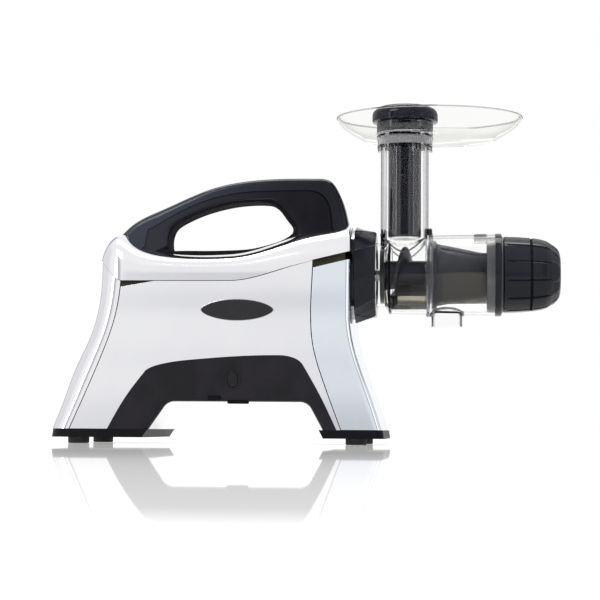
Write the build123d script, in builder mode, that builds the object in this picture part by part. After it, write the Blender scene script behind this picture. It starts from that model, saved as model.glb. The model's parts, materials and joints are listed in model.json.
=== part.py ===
"""Horizontal cold press juicer: motor body with arch base and carry handle, clear drum, auger and feed tray.

Frame: +Z up, +X from the motor towards the pulp cap, origin on the floor under the middle of the
whole juicer.  Units are millimetres.
"""

import os
from math import acos, atan2, cos, pi, radians, sin, sqrt, tan

from build123d import *

# ---------------------------------------------------------------- driving dimensions
BODY_DEPTH = 255.0          # front face of the motor body to the back of its foot
BODY_HALF_WIDTH = 67.0      # half width of the side panels at mid height
BASE_FLARE = 4.0            # how much wider each side is at the floor
SHELL_WALL = 2.5
REAR_CORNER = 24.0          # plan radius of the body's back corners
FRONT_CORNER = 5.0
AXIS_Z = 147.5              # juicing axis above the floor
BROW = 1.5                  # overhang of the top shell over the side panels

FOOT_HEIGHT = 5.2
FOOT_RADIUS = 9.0
SHOE_HEIGHT = 7.0           # dark strip round the bottom of each leg
SHOE_LIP = 1.0
ARCH_CEILING = 35.5         # underside of the body between the legs
FRAME_PROUD = 0.8           # the black arch frame stands this far outside the side panels

HANDLE_HALF_WIDTH = 19.0
HANDLE_TUCK = 3.5           # the handle's foot reaches this far below the outside of the top shell
HANDLE_TOP = 231.0

COLLAR_GAP = 1.5            # front face to lock collar
COLLAR_LENGTH = 18.2
COLLAR_BACK_RADIUS = 43.0
COLLAR_FRONT_RADIUS = 38.6
NECK_RADIUS = 28.0
NECK_WALL = 2.4
DRUM_RADIUS = 34.0          # at the neck end
DRUM_END_RADIUS = 35.2      # at the cap end
DRUM_WALL = 2.2
DRUM_LENGTH = 94.6
SHAFT_REACH = 3.4           # bare auger shaft seen between collar and flange
FLANGE_THICKNESS = 4.4
AUGER_CORE = 12.4
FLIGHT_PITCH = 48.0
FLIGHT_FOOT = 15.0          # width of the flight at its root
FLIGHT_TIP = 2.6
END_RING_LENGTH = 5.7
END_RING_RADIUS = 36.0
CAP_LENGTH = 49.0
CAP_RADIUS = 33.6
CAP_NOSE_RADIUS = 20.0
CAP_WALL = 2.6

TUBE_WIDTH = 41.7           # feed tube along the axis
TUBE_BREADTH = 52.0         # and across it
TUBE_WALL = 3.0
TUBE_CORNER = 19.5
TUBE_TOP = 269.0
TRAY_WIDTH = 162.6
TRAY_BREADTH = 130.0
TRAY_OFFSET = 21.2          # tray centre beyond the tube centre
TRAY_DEPTH = 19.0
TRAY_WALL = 2.2
SLEEVE_LENGTH = 14.0
PUSHER_WIDTH = 28.6
PUSHER_BREADTH = 38.0
PUSHER_LENGTH = 91.5
PUSHER_WALL = 2.6
PUSHER_CAP_WIDTH = 57.4
SPOUT_WIDTH = 26.7
SPOUT_DROP = 45.5           # outlet below the juicing axis

MOTOR_AXIS_DROP = 39.5      # motor axis below the juicing axis
STATOR_RADIUS = 36.0
STATOR_LENGTH = 50.0
ROTOR_RADIUS = 19.5
AIR_GAP = 0.6
MOTOR_SHAFT_RADIUS = 4.0
BEARING_RADIUS = 9.0
BEARING_WIDTH = 6.0
FAN_RADIUS = 30.0
OUTPUT_MODULE = 1.0
OUTPUT_TEETH = 50
COUNTER_PINION_TEETH = 13
FIRST_MODULE = 0.8
FIRST_TEETH = 60
MOTOR_PINION_TEETH = 12
PRESSURE_ANGLE = 25.0
BACKLASH = 0.35             # total, at the pitch circle

# named clearances
RUNNING_FIT = 0.05          # shafts in their bearings, radial
SPIN_GAP = 0.4              # round faces of moving pieces
FACE_GAP = 0.5              # flat faces of moving pieces
SLIDE_GAP = 0.4             # sleeve over the feed tube

OVER = 30.0                 # how far cutting outlines run past the body

# ---------------------------------------------------------------- places worked out from them
CAP_GAP = 1.4
DRUM_START = COLLAR_GAP + COLLAR_LENGTH + SHAFT_REACH + FLANGE_THICKNESS
NOSE_REACH = DRUM_START + DRUM_LENGTH + END_RING_LENGTH + CAP_GAP + CAP_LENGTH
FACE_X = (BODY_DEPTH - NOSE_REACH) / 2
DRUM_X = FACE_X + DRUM_START
END_RING_X = DRUM_X + DRUM_LENGTH
CAP_X = END_RING_X + END_RING_LENGTH + CAP_GAP
NOSE_X = CAP_X + CAP_LENGTH
COLLAR_X = FACE_X + COLLAR_GAP
COLLAR_END_X = COLLAR_X + COLLAR_LENGTH
FLANGE_X = COLLAR_END_X + SHAFT_REACH
REAR_X = FACE_X - BODY_DEPTH
TUBE_X = FLANGE_X + TUBE_WIDTH / 2
TRAY_X = TUBE_X + TRAY_OFFSET
SHOE_TOP = FOOT_HEIGHT + SHOE_HEIGHT
SIDE_REACH = BODY_HALF_WIDTH + BASE_FLARE + 20.0    # beyond the sides, for cutting tools
MOTOR_Z = AXIS_Z - MOTOR_AXIS_DROP


def share(depth_share):
    """X of a point given as a share of the body's depth behind its front face."""
    return FACE_X - BODY_DEPTH * depth_share


def outline(*points):
    """Side-view points from (share of body depth behind the face, height)."""
    return [(share(depth_share), height) for depth_share, height in points]


def ring_plane(x, z=AXIS_Z):
    """Plane square to the juicing axis (or to a parallel one) at x."""
    return Plane(origin=(x, 0, z), x_dir=(0, 1, 0), z_dir=(1, 0, 0))


def finish(piece, label):
    """Name a sub-part and write it."""
    piece.part.label = label
    export_step(piece.part, "parts/" + label + ".step")


os.makedirs("parts", exist_ok=True)

# ================================================================ motor body: outer form
# The lower body is lofted through plan sections: height, share of depth at the back and at the
# front, and how much narrower than the base it is.
FACE_FOOT_Z = 106.0         # above this height the front face is flat and upright
BODY_LEVELS = (
    (SHOE_TOP, 1.0 - 2 * SHOE_LIP / BODY_DEPTH, -0.107, BASE_FLARE),
    (40.0, 0.947, -0.071, BASE_FLARE * 0.72),
    (64.0, 0.910, -0.036, BASE_FLARE * 0.45),
    (86.0, 0.878, -0.011, BASE_FLARE * 0.22),
    (FACE_FOOT_Z, 0.858, 0.0, 0.0),
    (132.0, 0.850, 0.0, -0.5),
    (172.0, 0.850, 0.0, -2.0),
)


def plan_section(height, back, front, half_width, inset):
    """Plan outline with wide back corners and tight front ones, inset by a wall."""
    rear_x = share(back) + inset
    front_x = share(front) - inset
    with BuildSketch(Plane.XY.offset(height)) as section:
        with Locations(((rear_x + front_x) / 2, 0)):
            Rectangle(front_x - rear_x, 2 * (half_width - inset))
        fillet(section.vertices().group_by(Axis.X)[0], REAR_CORNER - inset)
        fillet(section.vertices().group_by(Axis.X)[-1], FRONT_CORNER - inset * 0.9)
    return section.sketch


def body_form(inset):
    """Closed form of the lower body, a wall thickness smaller all round."""
    with BuildPart() as form:
        loft([plan_section(height, back, front, BODY_HALF_WIDTH + wider, inset)
              for height, back, front, wider in BODY_LEVELS])
        with Locations((FACE_X - inset + OVER / 2, 0, FACE_FOOT_Z + AXIS_Z / 2)):
            Box(OVER, 2 * SIDE_REACH, AXIS_Z, mode=Mode.SUBTRACT)
    return form.part


# The top shell is lofted along its length: share of depth, half width less than the brow's,
# and the height of its crown.
CROWN_STATIONS = (
    (0.868, 17.0, 163.0),
    (0.860, 11.5, 171.0),
    (0.845, 6.0, 176.5),
    (0.825, 3.0, 180.0),
    (0.800, 1.0, 181.5),
    (0.772, 0.2, 178.5),
    (0.733, 0.0, 171.0),
    (0.680, 0.0, 167.0),
    (0.625, 0.0, 165.3),
    (0.425, 0.0, 164.3),
    (0.370, 0.0, 165.3),
    (0.318, 0.0, 168.5),
    (0.216, 0.0, 177.5),
    (0.165, 0.0, 181.5),
    (0.115, 0.0, 184.5),
    (0.060, 0.0, 187.0),
    (0.0, 0.5, 190.0),
)
SHOULDER_Z = 144.0          # where the top shell's sides start to turn in
SHELL_FOOT_Z = 128.0


def crown_section(x, half_width, crown):
    """Cross-section of the top shell: upright sides under half an ellipse."""
    with BuildSketch(Plane(origin=(x, 0, 0), x_dir=(0, 1, 0), z_dir=(1, 0, 0))) as section:
        with BuildLine():
            EllipticalCenterArc((0, SHOULDER_Z), half_width, crown - SHOULDER_Z, arc_size=180)
            Polyline((-half_width, SHOULDER_Z), (-half_width, SHELL_FOOT_Z),
                     (half_width, SHELL_FOOT_Z), (half_width, SHOULDER_Z))
        make_face()
    return section.sketch


def crown_form(inset):
    """Closed form of the top shell, a wall thickness smaller all round."""
    with BuildPart() as form:
        sections = []
        for along, narrower, crown in CROWN_STATIONS:
            end_inset = inset if along in (CROWN_STATIONS[0][0], CROWN_STATIONS[-1][0]) else 0
            x = share(along) + (end_inset if along > 0.5 else -end_inset)
            half_width = BODY_HALF_WIDTH + BROW - narrower - inset
            sections.append(crown_section(x, half_width, crown - inset))
        loft(sections, ruled=True)
    return form.part


body_outer = body_form(0)
body_inner = body_form(SHELL_WALL)
crown_outer = crown_form(0)
crown_inner = crown_form(SHELL_WALL)

# ---------------------------------------------------------------- seams, drawn in side view
TOP_SEAM_Z = 137.5


def side_tool(lines):
    """Closed side-view outline, cut through the whole width of the body."""
    with BuildPart() as tool:
        with BuildSketch(Plane.XZ) as face:
            with BuildLine():
                lines()
            make_face()
        extrude(amount=SIDE_REACH, both=True)
    return tool.part


def above_top_seam():
    back = outline((0.93, 168.0), (0.822, 151.5), (0.758, TOP_SEAM_Z))
    front = outline((0.40, TOP_SEAM_Z), (0.20, 149.3), (0.0, 162.2), (-0.06, 166.0))
    Spline(back, tangents=((1, -0.2), (1, 0)))
    Line(back[-1], front[0])
    Spline(front, tangents=((1, 0), (1, 0.25)))
    Polyline(front[-1], (front[-1][0], HANDLE_TOP + OVER), (back[0][0], HANDLE_TOP + OVER), back[0])


def behind_rear_seam():
    seam = outline((0.758, TOP_SEAM_Z + 20), (0.763, 132.0), (0.782, 104.0), (0.825, 72.0),
                   (0.892, 31.0), (0.945, 0.0))
    Spline(seam)
    Polyline(seam[-1], (REAR_X - OVER, 0), (REAR_X - OVER, TOP_SEAM_Z + OVER * 2),
             (seam[0][0], TOP_SEAM_Z + OVER * 2), seam[0])


def before_front_seam():
    seam = outline((0.118, 190.0), (0.123, 147.6), (0.128, 108.0), (0.119, 82.0),
                   (0.088, 55.0), (0.025, 12.0), (0.007, 0.0))
    Spline(seam)
    reach = share(-0.107) + OVER
    Polyline(seam[-1], (reach, 0), (reach, 190.0), seam[0])


ARCH_FOOT_BACK = 0.694      # arch opening at the floor, shares of the body's depth
ARCH_FOOT_FRONT = 0.073
ARCH_CORNER = 11.0
ARCH_TOP_BACK = 0.598
ARCH_TOP_FRONT = 0.146


def arch_opening():
    feet = outline((ARCH_FOOT_BACK, 0), (ARCH_FOOT_FRONT, 0))
    tops = outline((ARCH_TOP_BACK, ARCH_CEILING), (ARCH_TOP_FRONT, ARCH_CEILING))
    arch = FilletPolyline((feet[0][0], -OVER), feet[0], tops[0], tops[1], feet[1],
                          (feet[1][0], -OVER), radius=ARCH_CORNER)
    Line(arch @ 1, arch @ 0)


def band_edge():
    """Upper edge of the black arch frame, a bow from the back leg to the front one."""
    back = outline((0.797, SHOE_TOP), (0.735, 40.0), (0.672, 61.5))
    top = outline((0.672, 61.5), (0.625, 66.5), (0.50, 71.0), (0.35, 73.8), (0.235, 74.5))
    front = outline((0.195, 73.0), (0.160, 66.0), (0.105, 41.0), (0.047, SHOE_TOP))
    Spline(back)
    Spline(top, tangents=((0.8, 0.6), (1, 0)))
    Spline(top[-1], front[0], front[1], tangents=((1, 0), (0.45, -0.9)))
    Spline(front[1:])
    Polyline(front[-1], (front[-1][0] + OVER * 0.3, -OVER), (back[0][0] - OVER * 0.5, -OVER), back[0])


top_side = side_tool(above_top_seam)
rear_side = side_tool(behind_rear_seam)
front_side = side_tool(before_front_seam)
arch_void = side_tool(arch_opening)
band_side = side_tool(band_edge)

# ================================================================ motor body: chrome panels
SOCKET_RADIUS = 25.0

with BuildPart(mode=Mode.PRIVATE) as lower_shell:
    add(body_outer)
    add(body_inner, mode=Mode.SUBTRACT)
    add(top_side, mode=Mode.SUBTRACT)
    add(band_side, mode=Mode.SUBTRACT)

with BuildPart(mode=Mode.PRIVATE) as near_half:
    with Locations((0, -SIDE_REACH / 2, AXIS_Z)):
        Box(3 * BODY_DEPTH, SIDE_REACH, 4 * AXIS_Z)

CORD_Z = 34.0
CORD_INLET_RADIUS = 6.0

with BuildPart() as rear_panel:
    add(lower_shell.part)
    add(rear_side, mode=Mode.INTERSECT)
    with BuildSketch(ring_plane(REAR_X - OVER, CORD_Z)):
        Circle(CORD_INLET_RADIUS)
    extrude(amount=3 * OVER, mode=Mode.SUBTRACT)
finish(rear_panel, "rear_panel")

with BuildPart() as front_panel:
    add(lower_shell.part)
    add(front_side, mode=Mode.INTERSECT)
    with BuildSketch(ring_plane(FACE_X - OVER)):
        Circle(SOCKET_RADIUS)
    extrude(amount=2 * OVER, mode=Mode.SUBTRACT)
finish(front_panel, "front_panel")

with BuildPart(mode=Mode.PRIVATE) as side_ring:
    add(lower_shell.part)
    add(rear_side, mode=Mode.SUBTRACT)
    add(front_side, mode=Mode.SUBTRACT)

with BuildPart() as side_panel_near:
    add(side_ring.part)
    add(near_half.part, mode=Mode.INTERSECT)
finish(side_panel_near, "side_panel_near")

with BuildPart() as side_panel_far:
    add(side_ring.part)
    add(near_half.part, mode=Mode.SUBTRACT)
finish(side_panel_far, "side_panel_far")


# ================================================================ carry handle and top shell
def handle_edge():
    """Whole side view of the handle, its foot tucked into the top shell."""
    over = outline((0.812, 181.0), (0.763, 190.4), (0.641, 205.8), (0.503, 221.2), (0.363, 229.0),
                   (0.224, HANDLE_TOP), (0.118, 230.9))
    nose = outline((0.118, 230.9), (0.082, 229.0), (0.055, 220.7), (0.030, 205.0), (0.014, 188.0))
    Spline(over, tangents=((1, 1), (1, 0)))
    Spline(nose, tangents=((1, 0), (0.25, -1)))
    foot = [(x, z - HANDLE_TUCK) for x, z in outline(
        (0.014, 188.4), (0.113, 183.0), (0.216, 176.0), (0.318, 166.4), (0.420, 162.0),
        (0.524, 161.8), (0.627, 163.0), (0.696, 165.3), (0.750, 171.0), (0.790, 179.0))]
    Line(nose[-1], foot[0])
    Spline(foot)
    Line(foot[-1], over[0])


def below_strap_seam():
    """Everything inside the line where the strap meets the surround."""
    tail = outline((0.722, 140.0), (0.716, 167.0), (0.704, 186.0))
    seam = outline((0.704, 186.0), (0.649, 193.5), (0.527, 209.0), (0.390, 217.7), (0.321, 219.0),
                   (0.160, 219.4), (0.116, 217.0), (0.092, 211.0), (0.078, 201.0), (0.073, 185.0),
                   (0.072, 140.0))
    Spline(tail)
    Spline(seam[:5], tangents=((1, 0.35), (1, 0.02)))
    Line(seam[4], seam[5])
    Spline(seam[5:], tangents=((1, 0), (0, -1)))
    Line(seam[-1], tail[0])


def hand_opening():
    loop = outline((0.634, 175.0), (0.622, 187.0), (0.529, 200.9), (0.408, 208.7), (0.322, 210.3),
                   (0.262, 206.0), (0.211, 190.0), (0.222, 181.0), (0.304, 171.3), (0.392, 168.0),
                   (0.527, 167.5), (0.614, 168.0))
    Spline(loop, periodic=True)


with BuildPart(mode=Mode.PRIVATE) as handle_block:
    with BuildSketch(Plane.XZ):
        with BuildLine():
            handle_edge()
        make_face()
    extrude(amount=HANDLE_HALF_WIDTH, both=True)

seam_side = side_tool(below_strap_seam)
opening_void = side_tool(hand_opening)

with BuildPart() as handle_strap:
    add(handle_block.part)
    add(seam_side, mode=Mode.SUBTRACT)
finish(handle_strap, "handle_strap")

with BuildPart() as handle_surround:
    add(handle_block.part)
    add(seam_side, mode=Mode.INTERSECT)
    add(opening_void, mode=Mode.SUBTRACT)
finish(handle_surround, "handle_surround")

with BuildPart() as top_shell:
    add(crown_outer)
    add(handle_block.part, mode=Mode.SUBTRACT)
    add(crown_inner, mode=Mode.SUBTRACT)
    add(top_side, mode=Mode.INTERSECT)
    with BuildSketch(ring_plane(FACE_X - OVER)):
        Circle(SOCKET_RADIUS)
    extrude(amount=2 * OVER, mode=Mode.SUBTRACT)
finish(top_shell, "top_shell")

# ================================================================ arch frame, shoes and feet
BUTTON_X = share(0.382)
BUTTON_Z = 54.0
BUTTON_WIDTH = 8.7
BUTTON_HEIGHT = 13.4
BEZEL_RIM = 2.0
BUTTON_GAP = 0.35
ROCKER_WIDTH = 12.0
ROCKER_HEIGHT = 17.0
ROCKER_GAP = 0.8
FRAME_FACE_Y = BODY_HALF_WIDTH + BASE_FLARE * 0.6 + FRAME_PROUD


def arch_lining():
    feet = outline((ARCH_FOOT_BACK, 0), (ARCH_FOOT_FRONT, 0))
    tops = outline((ARCH_TOP_BACK, ARCH_CEILING), (ARCH_TOP_FRONT, ARCH_CEILING))
    slope = SHELL_WALL * 1.3
    arch = FilletPolyline((feet[0][0] - slope, -OVER), (feet[0][0] - slope, 0),
                          (tops[0][0] - SHELL_WALL * 0.6, ARCH_CEILING + SHELL_WALL),
                          (tops[1][0] + SHELL_WALL * 0.6, ARCH_CEILING + SHELL_WALL),
                          (feet[1][0] + slope, 0), (feet[1][0] + slope, -OVER),
                          radius=ARCH_CORNER + SHELL_WALL)
    Line(arch @ 1, arch @ 0)


arch_thick = side_tool(arch_lining)

with BuildPart(mode=Mode.PRIVATE) as leg_space:
    add(body_inner)
    add(arch_thick, mode=Mode.SUBTRACT)

with BuildPart() as arch_frame:
    add(body_form(-FRAME_PROUD))
    add(band_side, mode=Mode.INTERSECT)
    add(arch_void, mode=Mode.SUBTRACT)
    add(leg_space.part, mode=Mode.SUBTRACT)
    with BuildSketch(Plane.XZ.offset(FRAME_FACE_Y - 8)):
        with Locations((BUTTON_X, BUTTON_Z)):
            Ellipse(BUTTON_WIDTH / 2 + BEZEL_RIM, BUTTON_HEIGHT / 2 + BEZEL_RIM)
    extrude(amount=OVER, mode=Mode.SUBTRACT)
    with BuildSketch(Plane.XZ.offset(8 - FRAME_FACE_Y)):
        with Locations((BUTTON_X, BUTTON_Z)):
            Rectangle(ROCKER_WIDTH + 2 * (ROCKER_GAP + BEZEL_RIM),
                      ROCKER_HEIGHT + 2 * (ROCKER_GAP + BEZEL_RIM))
    extrude(amount=-OVER, mode=Mode.SUBTRACT)
finish(arch_frame, "arch_frame")

SHOE_FLOOR = 2.5
_, BASE_BACK, BASE_FRONT, _ = BODY_LEVELS[0]
BASE_HALF_WIDTH = BODY_HALF_WIDTH + BASE_FLARE
ARCH_MIDDLE_X = share((ARCH_TOP_BACK + ARCH_TOP_FRONT) / 2)
FOOT_INSET_X = 24.0
FOOT_INSET_Y = 20.0
FOOT_Y = BASE_HALF_WIDTH + 2 * SHOE_LIP - FOOT_INSET_Y


def base_outline(height, inset):
    return plan_section(height, BASE_BACK, BASE_FRONT, BASE_HALF_WIDTH, inset)


with BuildPart(mode=Mode.PRIVATE) as shoe_pair:
    loft([base_outline(FOOT_HEIGHT, -2 * SHOE_LIP), base_outline(SHOE_TOP, -SHOE_LIP)])
    add(arch_void, mode=Mode.SUBTRACT)
    with BuildPart(mode=Mode.PRIVATE) as pocket:
        extrude(base_outline(FOOT_HEIGHT + SHOE_FLOOR, SHELL_WALL), amount=SHOE_HEIGHT)
        add(arch_thick, mode=Mode.SUBTRACT)
    add(pocket.part, mode=Mode.SUBTRACT)

with BuildPart(mode=Mode.PRIVATE) as rear_half:
    with Locations((ARCH_MIDDLE_X - BODY_DEPTH, 0, 0)):
        Box(2 * BODY_DEPTH, 4 * SIDE_REACH, AXIS_Z)

with BuildPart() as shoe_rear:
    add(shoe_pair.part)
    add(rear_half.part, mode=Mode.INTERSECT)
finish(shoe_rear, "shoe_rear")

with BuildPart() as shoe_front:
    add(shoe_pair.part)
    add(rear_half.part, mode=Mode.SUBTRACT)
finish(shoe_front, "shoe_front")

FOOT_PLACES = {
    "foot_rear_near": (REAR_X + FOOT_INSET_X, -FOOT_Y),
    "foot_rear_far": (REAR_X + FOOT_INSET_X, FOOT_Y),
    "foot_front_near": (share(BASE_FRONT) + 2 * SHOE_LIP - FOOT_INSET_X, -FOOT_Y),
    "foot_front_far": (share(BASE_FRONT) + 2 * SHOE_LIP - FOOT_INSET_X, FOOT_Y),
}
for foot_name, foot_place in FOOT_PLACES.items():
    with BuildPart() as foot:
        with BuildSketch():
            with Locations(foot_place):
                Circle(FOOT_RADIUS)
        extrude(amount=FOOT_HEIGHT)
        fillet(foot.edges().group_by(Axis.Z)[0], 1.2)
    finish(foot, foot_name)

# ================================================================ badge, switches and cord inlet
BADGE_X = share(0.371)
BADGE_Z = 112.6
BADGE_WIDTH = 62.6
BADGE_HEIGHT = 19.0
BADGE_PROUD = 0.9


def badge_outline():
    """Pointed oval: two equal arcs."""
    left = (BADGE_X - BADGE_WIDTH / 2, BADGE_Z)
    right = (BADGE_X + BADGE_WIDTH / 2, BADGE_Z)
    ThreePointArc(left, (BADGE_X, BADGE_Z + BADGE_HEIGHT / 2), right)
    ThreePointArc(right, (BADGE_X, BADGE_Z - BADGE_HEIGHT / 2), left)


with BuildPart() as badges:
    for side in (1, -1):
        with BuildSketch(Plane.XZ.offset(side * (BODY_HALF_WIDTH - 4))):
            with BuildLine():
                badge_outline()
            make_face()
        extrude(amount=side * (4 + BADGE_PROUD))
    add(body_outer, mode=Mode.SUBTRACT)
finish(badges, "badges")

BUTTON_DEPTH = 6.0
BUTTON_PROUD = 1.6
BUTTON_TRAVEL = 1.5
SWITCH_GAP = 0.5            # left between button and switch at the end of its travel
BEZEL_DEPTH = BUTTON_DEPTH + BUTTON_TRAVEL + SWITCH_GAP

with BuildPart() as button_bezel:
    with BuildSketch(Plane.XZ.offset(FRAME_FACE_Y - BEZEL_DEPTH)):
        with Locations((BUTTON_X, BUTTON_Z)):
            Ellipse(BUTTON_WIDTH / 2 + BEZEL_RIM, BUTTON_HEIGHT / 2 + BEZEL_RIM)
            Ellipse(BUTTON_WIDTH / 2 + BUTTON_GAP, BUTTON_HEIGHT / 2 + BUTTON_GAP, mode=Mode.SUBTRACT)
    extrude(amount=BEZEL_DEPTH + 0.6)
finish(button_bezel, "button_bezel")

with BuildPart() as power_button:
    with BuildSketch(Plane.XZ.offset(FRAME_FACE_Y - BUTTON_DEPTH)):
        with Locations((BUTTON_X, BUTTON_Z)):
            Ellipse(BUTTON_WIDTH / 2, BUTTON_HEIGHT / 2)
    extrude(amount=BUTTON_DEPTH + BUTTON_PROUD)
    fillet(power_button.edges().group_by(Axis.Y)[0], 0.8)
finish(power_button, "power_button")

SWITCH_DEPTH = 12.0

with BuildPart() as button_switch:
    back_y = FRAME_FACE_Y - BEZEL_DEPTH
    with Locations((BUTTON_X, -back_y + SWITCH_DEPTH / 2, BUTTON_Z)):
        Box(BUTTON_WIDTH + 2 * BEZEL_RIM, SWITCH_DEPTH, BUTTON_HEIGHT + 2 * BEZEL_RIM)
    with BuildSketch(Plane.XZ.offset(back_y)):
        with Locations((BUTTON_X, BUTTON_Z)):
            Circle(2.5)
    extrude(amount=-SWITCH_DEPTH / 2, mode=Mode.SUBTRACT)
finish(button_switch, "button_switch")

ROCKER_DEPTH = 8.0

with BuildPart() as rocker_bezel:
    with BuildSketch(Plane.XZ.offset(ROCKER_DEPTH - FRAME_FACE_Y)):
        with Locations((BUTTON_X, BUTTON_Z)):
            Rectangle(ROCKER_WIDTH + 2 * (ROCKER_GAP + BEZEL_RIM),
                      ROCKER_HEIGHT + 2 * (ROCKER_GAP + BEZEL_RIM))
    extrude(amount=-ROCKER_DEPTH - 1.0)
    with BuildSketch(Plane.XZ.offset(3.0 - FRAME_FACE_Y)):
        with Locations((BUTTON_X, BUTTON_Z)):
            Rectangle(ROCKER_WIDTH + 2 * ROCKER_GAP, ROCKER_HEIGHT + 2 * ROCKER_GAP)
    extrude(amount=-OVER, mode=Mode.SUBTRACT)
    with BuildSketch(Plane.XZ.offset(ROCKER_DEPTH - 1.5 - FRAME_FACE_Y)):
        with Locations((BUTTON_X, BUTTON_Z)):
            Rectangle(ROCKER_WIDTH + 2 * ROCKER_GAP, ROCKER_HEIGHT + 2 * ROCKER_GAP)
    extrude(amount=-OVER, mode=Mode.SUBTRACT)
finish(rocker_bezel, "rocker_bezel")

with BuildPart() as rocker_switch:
    with BuildSketch(Plane.YZ.offset(BUTTON_X)):
        with BuildLine():
            Polyline((FRAME_FACE_Y - 4.0, BUTTON_Z - 5.5), (FRAME_FACE_Y + 1.4, BUTTON_Z - ROCKER_HEIGHT / 2),
                     (FRAME_FACE_Y + 0.6, BUTTON_Z), (FRAME_FACE_Y + 1.4, BUTTON_Z + ROCKER_HEIGHT / 2),
                     (FRAME_FACE_Y - 4.0, BUTTON_Z + 5.5), close=True)
        make_face()
    extrude(amount=ROCKER_WIDTH / 2, both=True)
finish(rocker_switch, "rocker_switch")

with BuildPart() as cord_inlet:
    with BuildSketch(ring_plane(REAR_X + 4.0, CORD_Z)):
        Circle(CORD_INLET_RADIUS)
    extrude(amount=16.0)
    with BuildSketch(ring_plane(REAR_X + 4.0, CORD_Z)):
        Circle(CORD_INLET_RADIUS + 2.5)
    extrude(amount=8.0)
    add(body_outer, mode=Mode.SUBTRACT)
    with BuildSketch(ring_plane(REAR_X + 4.0, CORD_Z)):
        Circle(CORD_INLET_RADIUS)
    extrude(amount=16.0)
    with BuildSketch(ring_plane(REAR_X + 4.0, CORD_Z)):
        Circle(CORD_INLET_RADIUS - 2.5)
    extrude(amount=16.0, mode=Mode.SUBTRACT)
finish(cord_inlet, "cord_inlet")


# ================================================================ motor
GEAR_FIT = 1.2              # gear tips to the walls round them
CASE_WALL = 2.5
PLATE_THICKNESS = 3.5
FIRST_GEAR_WIDTH = 7.0
OUTPUT_GEAR_WIDTH = 13.0
PINION_EXTRA = 1.0          # pinions are this much wider than their gears, each side
CASE_BACK_X = FACE_X - 47.0
FIRST_GEAR_X = CASE_BACK_X + CASE_WALL + 2.0
PLATE_X = FIRST_GEAR_X + FIRST_GEAR_WIDTH + 2.0
OUTPUT_GEAR_X = PLATE_X + PLATE_THICKNESS + 2.5
COVER_X = OUTPUT_GEAR_X + OUTPUT_GEAR_WIDTH + 3.0
COVER_END_X = COVER_X + CASE_WALL
BELL_LENGTH = 20.0
BELL_WALL = 2.5
WINDING_LENGTH = 9.0
STATOR_END_X = CASE_BACK_X - BELL_LENGTH
STATOR_X = STATOR_END_X - STATOR_LENGTH
BELL_BACK_X = STATOR_X - BELL_LENGTH
FAN_X = BELL_BACK_X - 12.0
FAN_WIDTH = 8.0
FAN_BLADES = 9
COUNTER_SHAFT_RADIUS = 3.5
STUB_RADIUS = 6.0
GEAR_SEAT_RADIUS = 9.0
HUB_RADIUS = 12.0
HUB_HEX = 10.0              # across flats
HUB_END_X = FACE_X + 0.6

# Gear centres: the countershaft hangs beside and below the output axis, at the two centre
# distances, where circles about the output axis and the motor axis cross.
OUTPUT_DISTANCE = OUTPUT_MODULE * (OUTPUT_TEETH + COUNTER_PINION_TEETH) / 2
FIRST_DISTANCE = FIRST_MODULE * (FIRST_TEETH + MOTOR_PINION_TEETH) / 2
COUNTER_DROP = (OUTPUT_DISTANCE ** 2 - FIRST_DISTANCE ** 2 + MOTOR_AXIS_DROP ** 2) / (2 * MOTOR_AXIS_DROP)
COUNTER_Y = sqrt(OUTPUT_DISTANCE ** 2 - COUNTER_DROP ** 2)
COUNTER_Z = AXIS_Z - COUNTER_DROP


def turned(axis_y, axis_z, *outline_points):
    """Solid of revolution about a line along X, from (x, radius) points."""
    with BuildPart() as solid:
        with BuildSketch(Plane.XZ):
            with BuildLine():
                Polyline(*[(x, radius) for x, radius in outline_points], close=True)
            make_face()
        revolve(axis=Axis.X)
    return solid.part.moved(Location((0, axis_y, axis_z)))


def disc(axis_y, axis_z, start_x, end_x, radius, bore=0.0):
    """Plain disc, ring or rod along X."""
    return turned(axis_y, axis_z, (start_x, bore), (end_x, bore), (end_x, radius), (start_x, radius))


def bell(inner_x, outer_x):
    """Motor end bell: a cup with a bearing seat in its floor."""
    seat_x = outer_x + (BEARING_WIDTH if inner_x > outer_x else -BEARING_WIDTH)
    floor_x = outer_x + (BELL_WALL if inner_x > outer_x else -BELL_WALL)
    return turned(0, MOTOR_Z, (outer_x, BEARING_RADIUS), (outer_x, STATOR_RADIUS), (inner_x, STATOR_RADIUS),
                  (inner_x, STATOR_RADIUS - BELL_WALL), (floor_x, STATOR_RADIUS - BELL_WALL),
                  (floor_x, BEARING_RADIUS + 3), (seat_x, BEARING_RADIUS + 3), (seat_x, BEARING_RADIUS))


with BuildPart() as stator_core:
    add(disc(0, MOTOR_Z, STATOR_X, STATOR_END_X, STATOR_RADIUS, ROTOR_RADIUS + AIR_GAP))
finish(stator_core, "stator_core")

WINDING_OUTER = STATOR_RADIUS - BELL_WALL - 1.5
WINDING_INNER = ROTOR_RADIUS + AIR_GAP + 2.0

with BuildPart() as winding_front:
    add(disc(0, MOTOR_Z, STATOR_END_X, STATOR_END_X + WINDING_LENGTH, WINDING_OUTER, WINDING_INNER))
    fillet(winding_front.edges().group_by(Axis.X)[-1], 3.0)
finish(winding_front, "winding_front")

with BuildPart() as winding_rear:
    add(disc(0, MOTOR_Z, STATOR_X - WINDING_LENGTH, STATOR_X, WINDING_OUTER, WINDING_INNER))
    fillet(winding_rear.edges().group_by(Axis.X)[0], 3.0)
finish(winding_rear, "winding_rear")

with BuildPart() as motor_bell_front:
    add(bell(STATOR_END_X, CASE_BACK_X))
finish(motor_bell_front, "motor_bell_front")

with BuildPart() as motor_bell_rear:
    add(bell(STATOR_X, BELL_BACK_X))
finish(motor_bell_rear, "motor_bell_rear")

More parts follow.
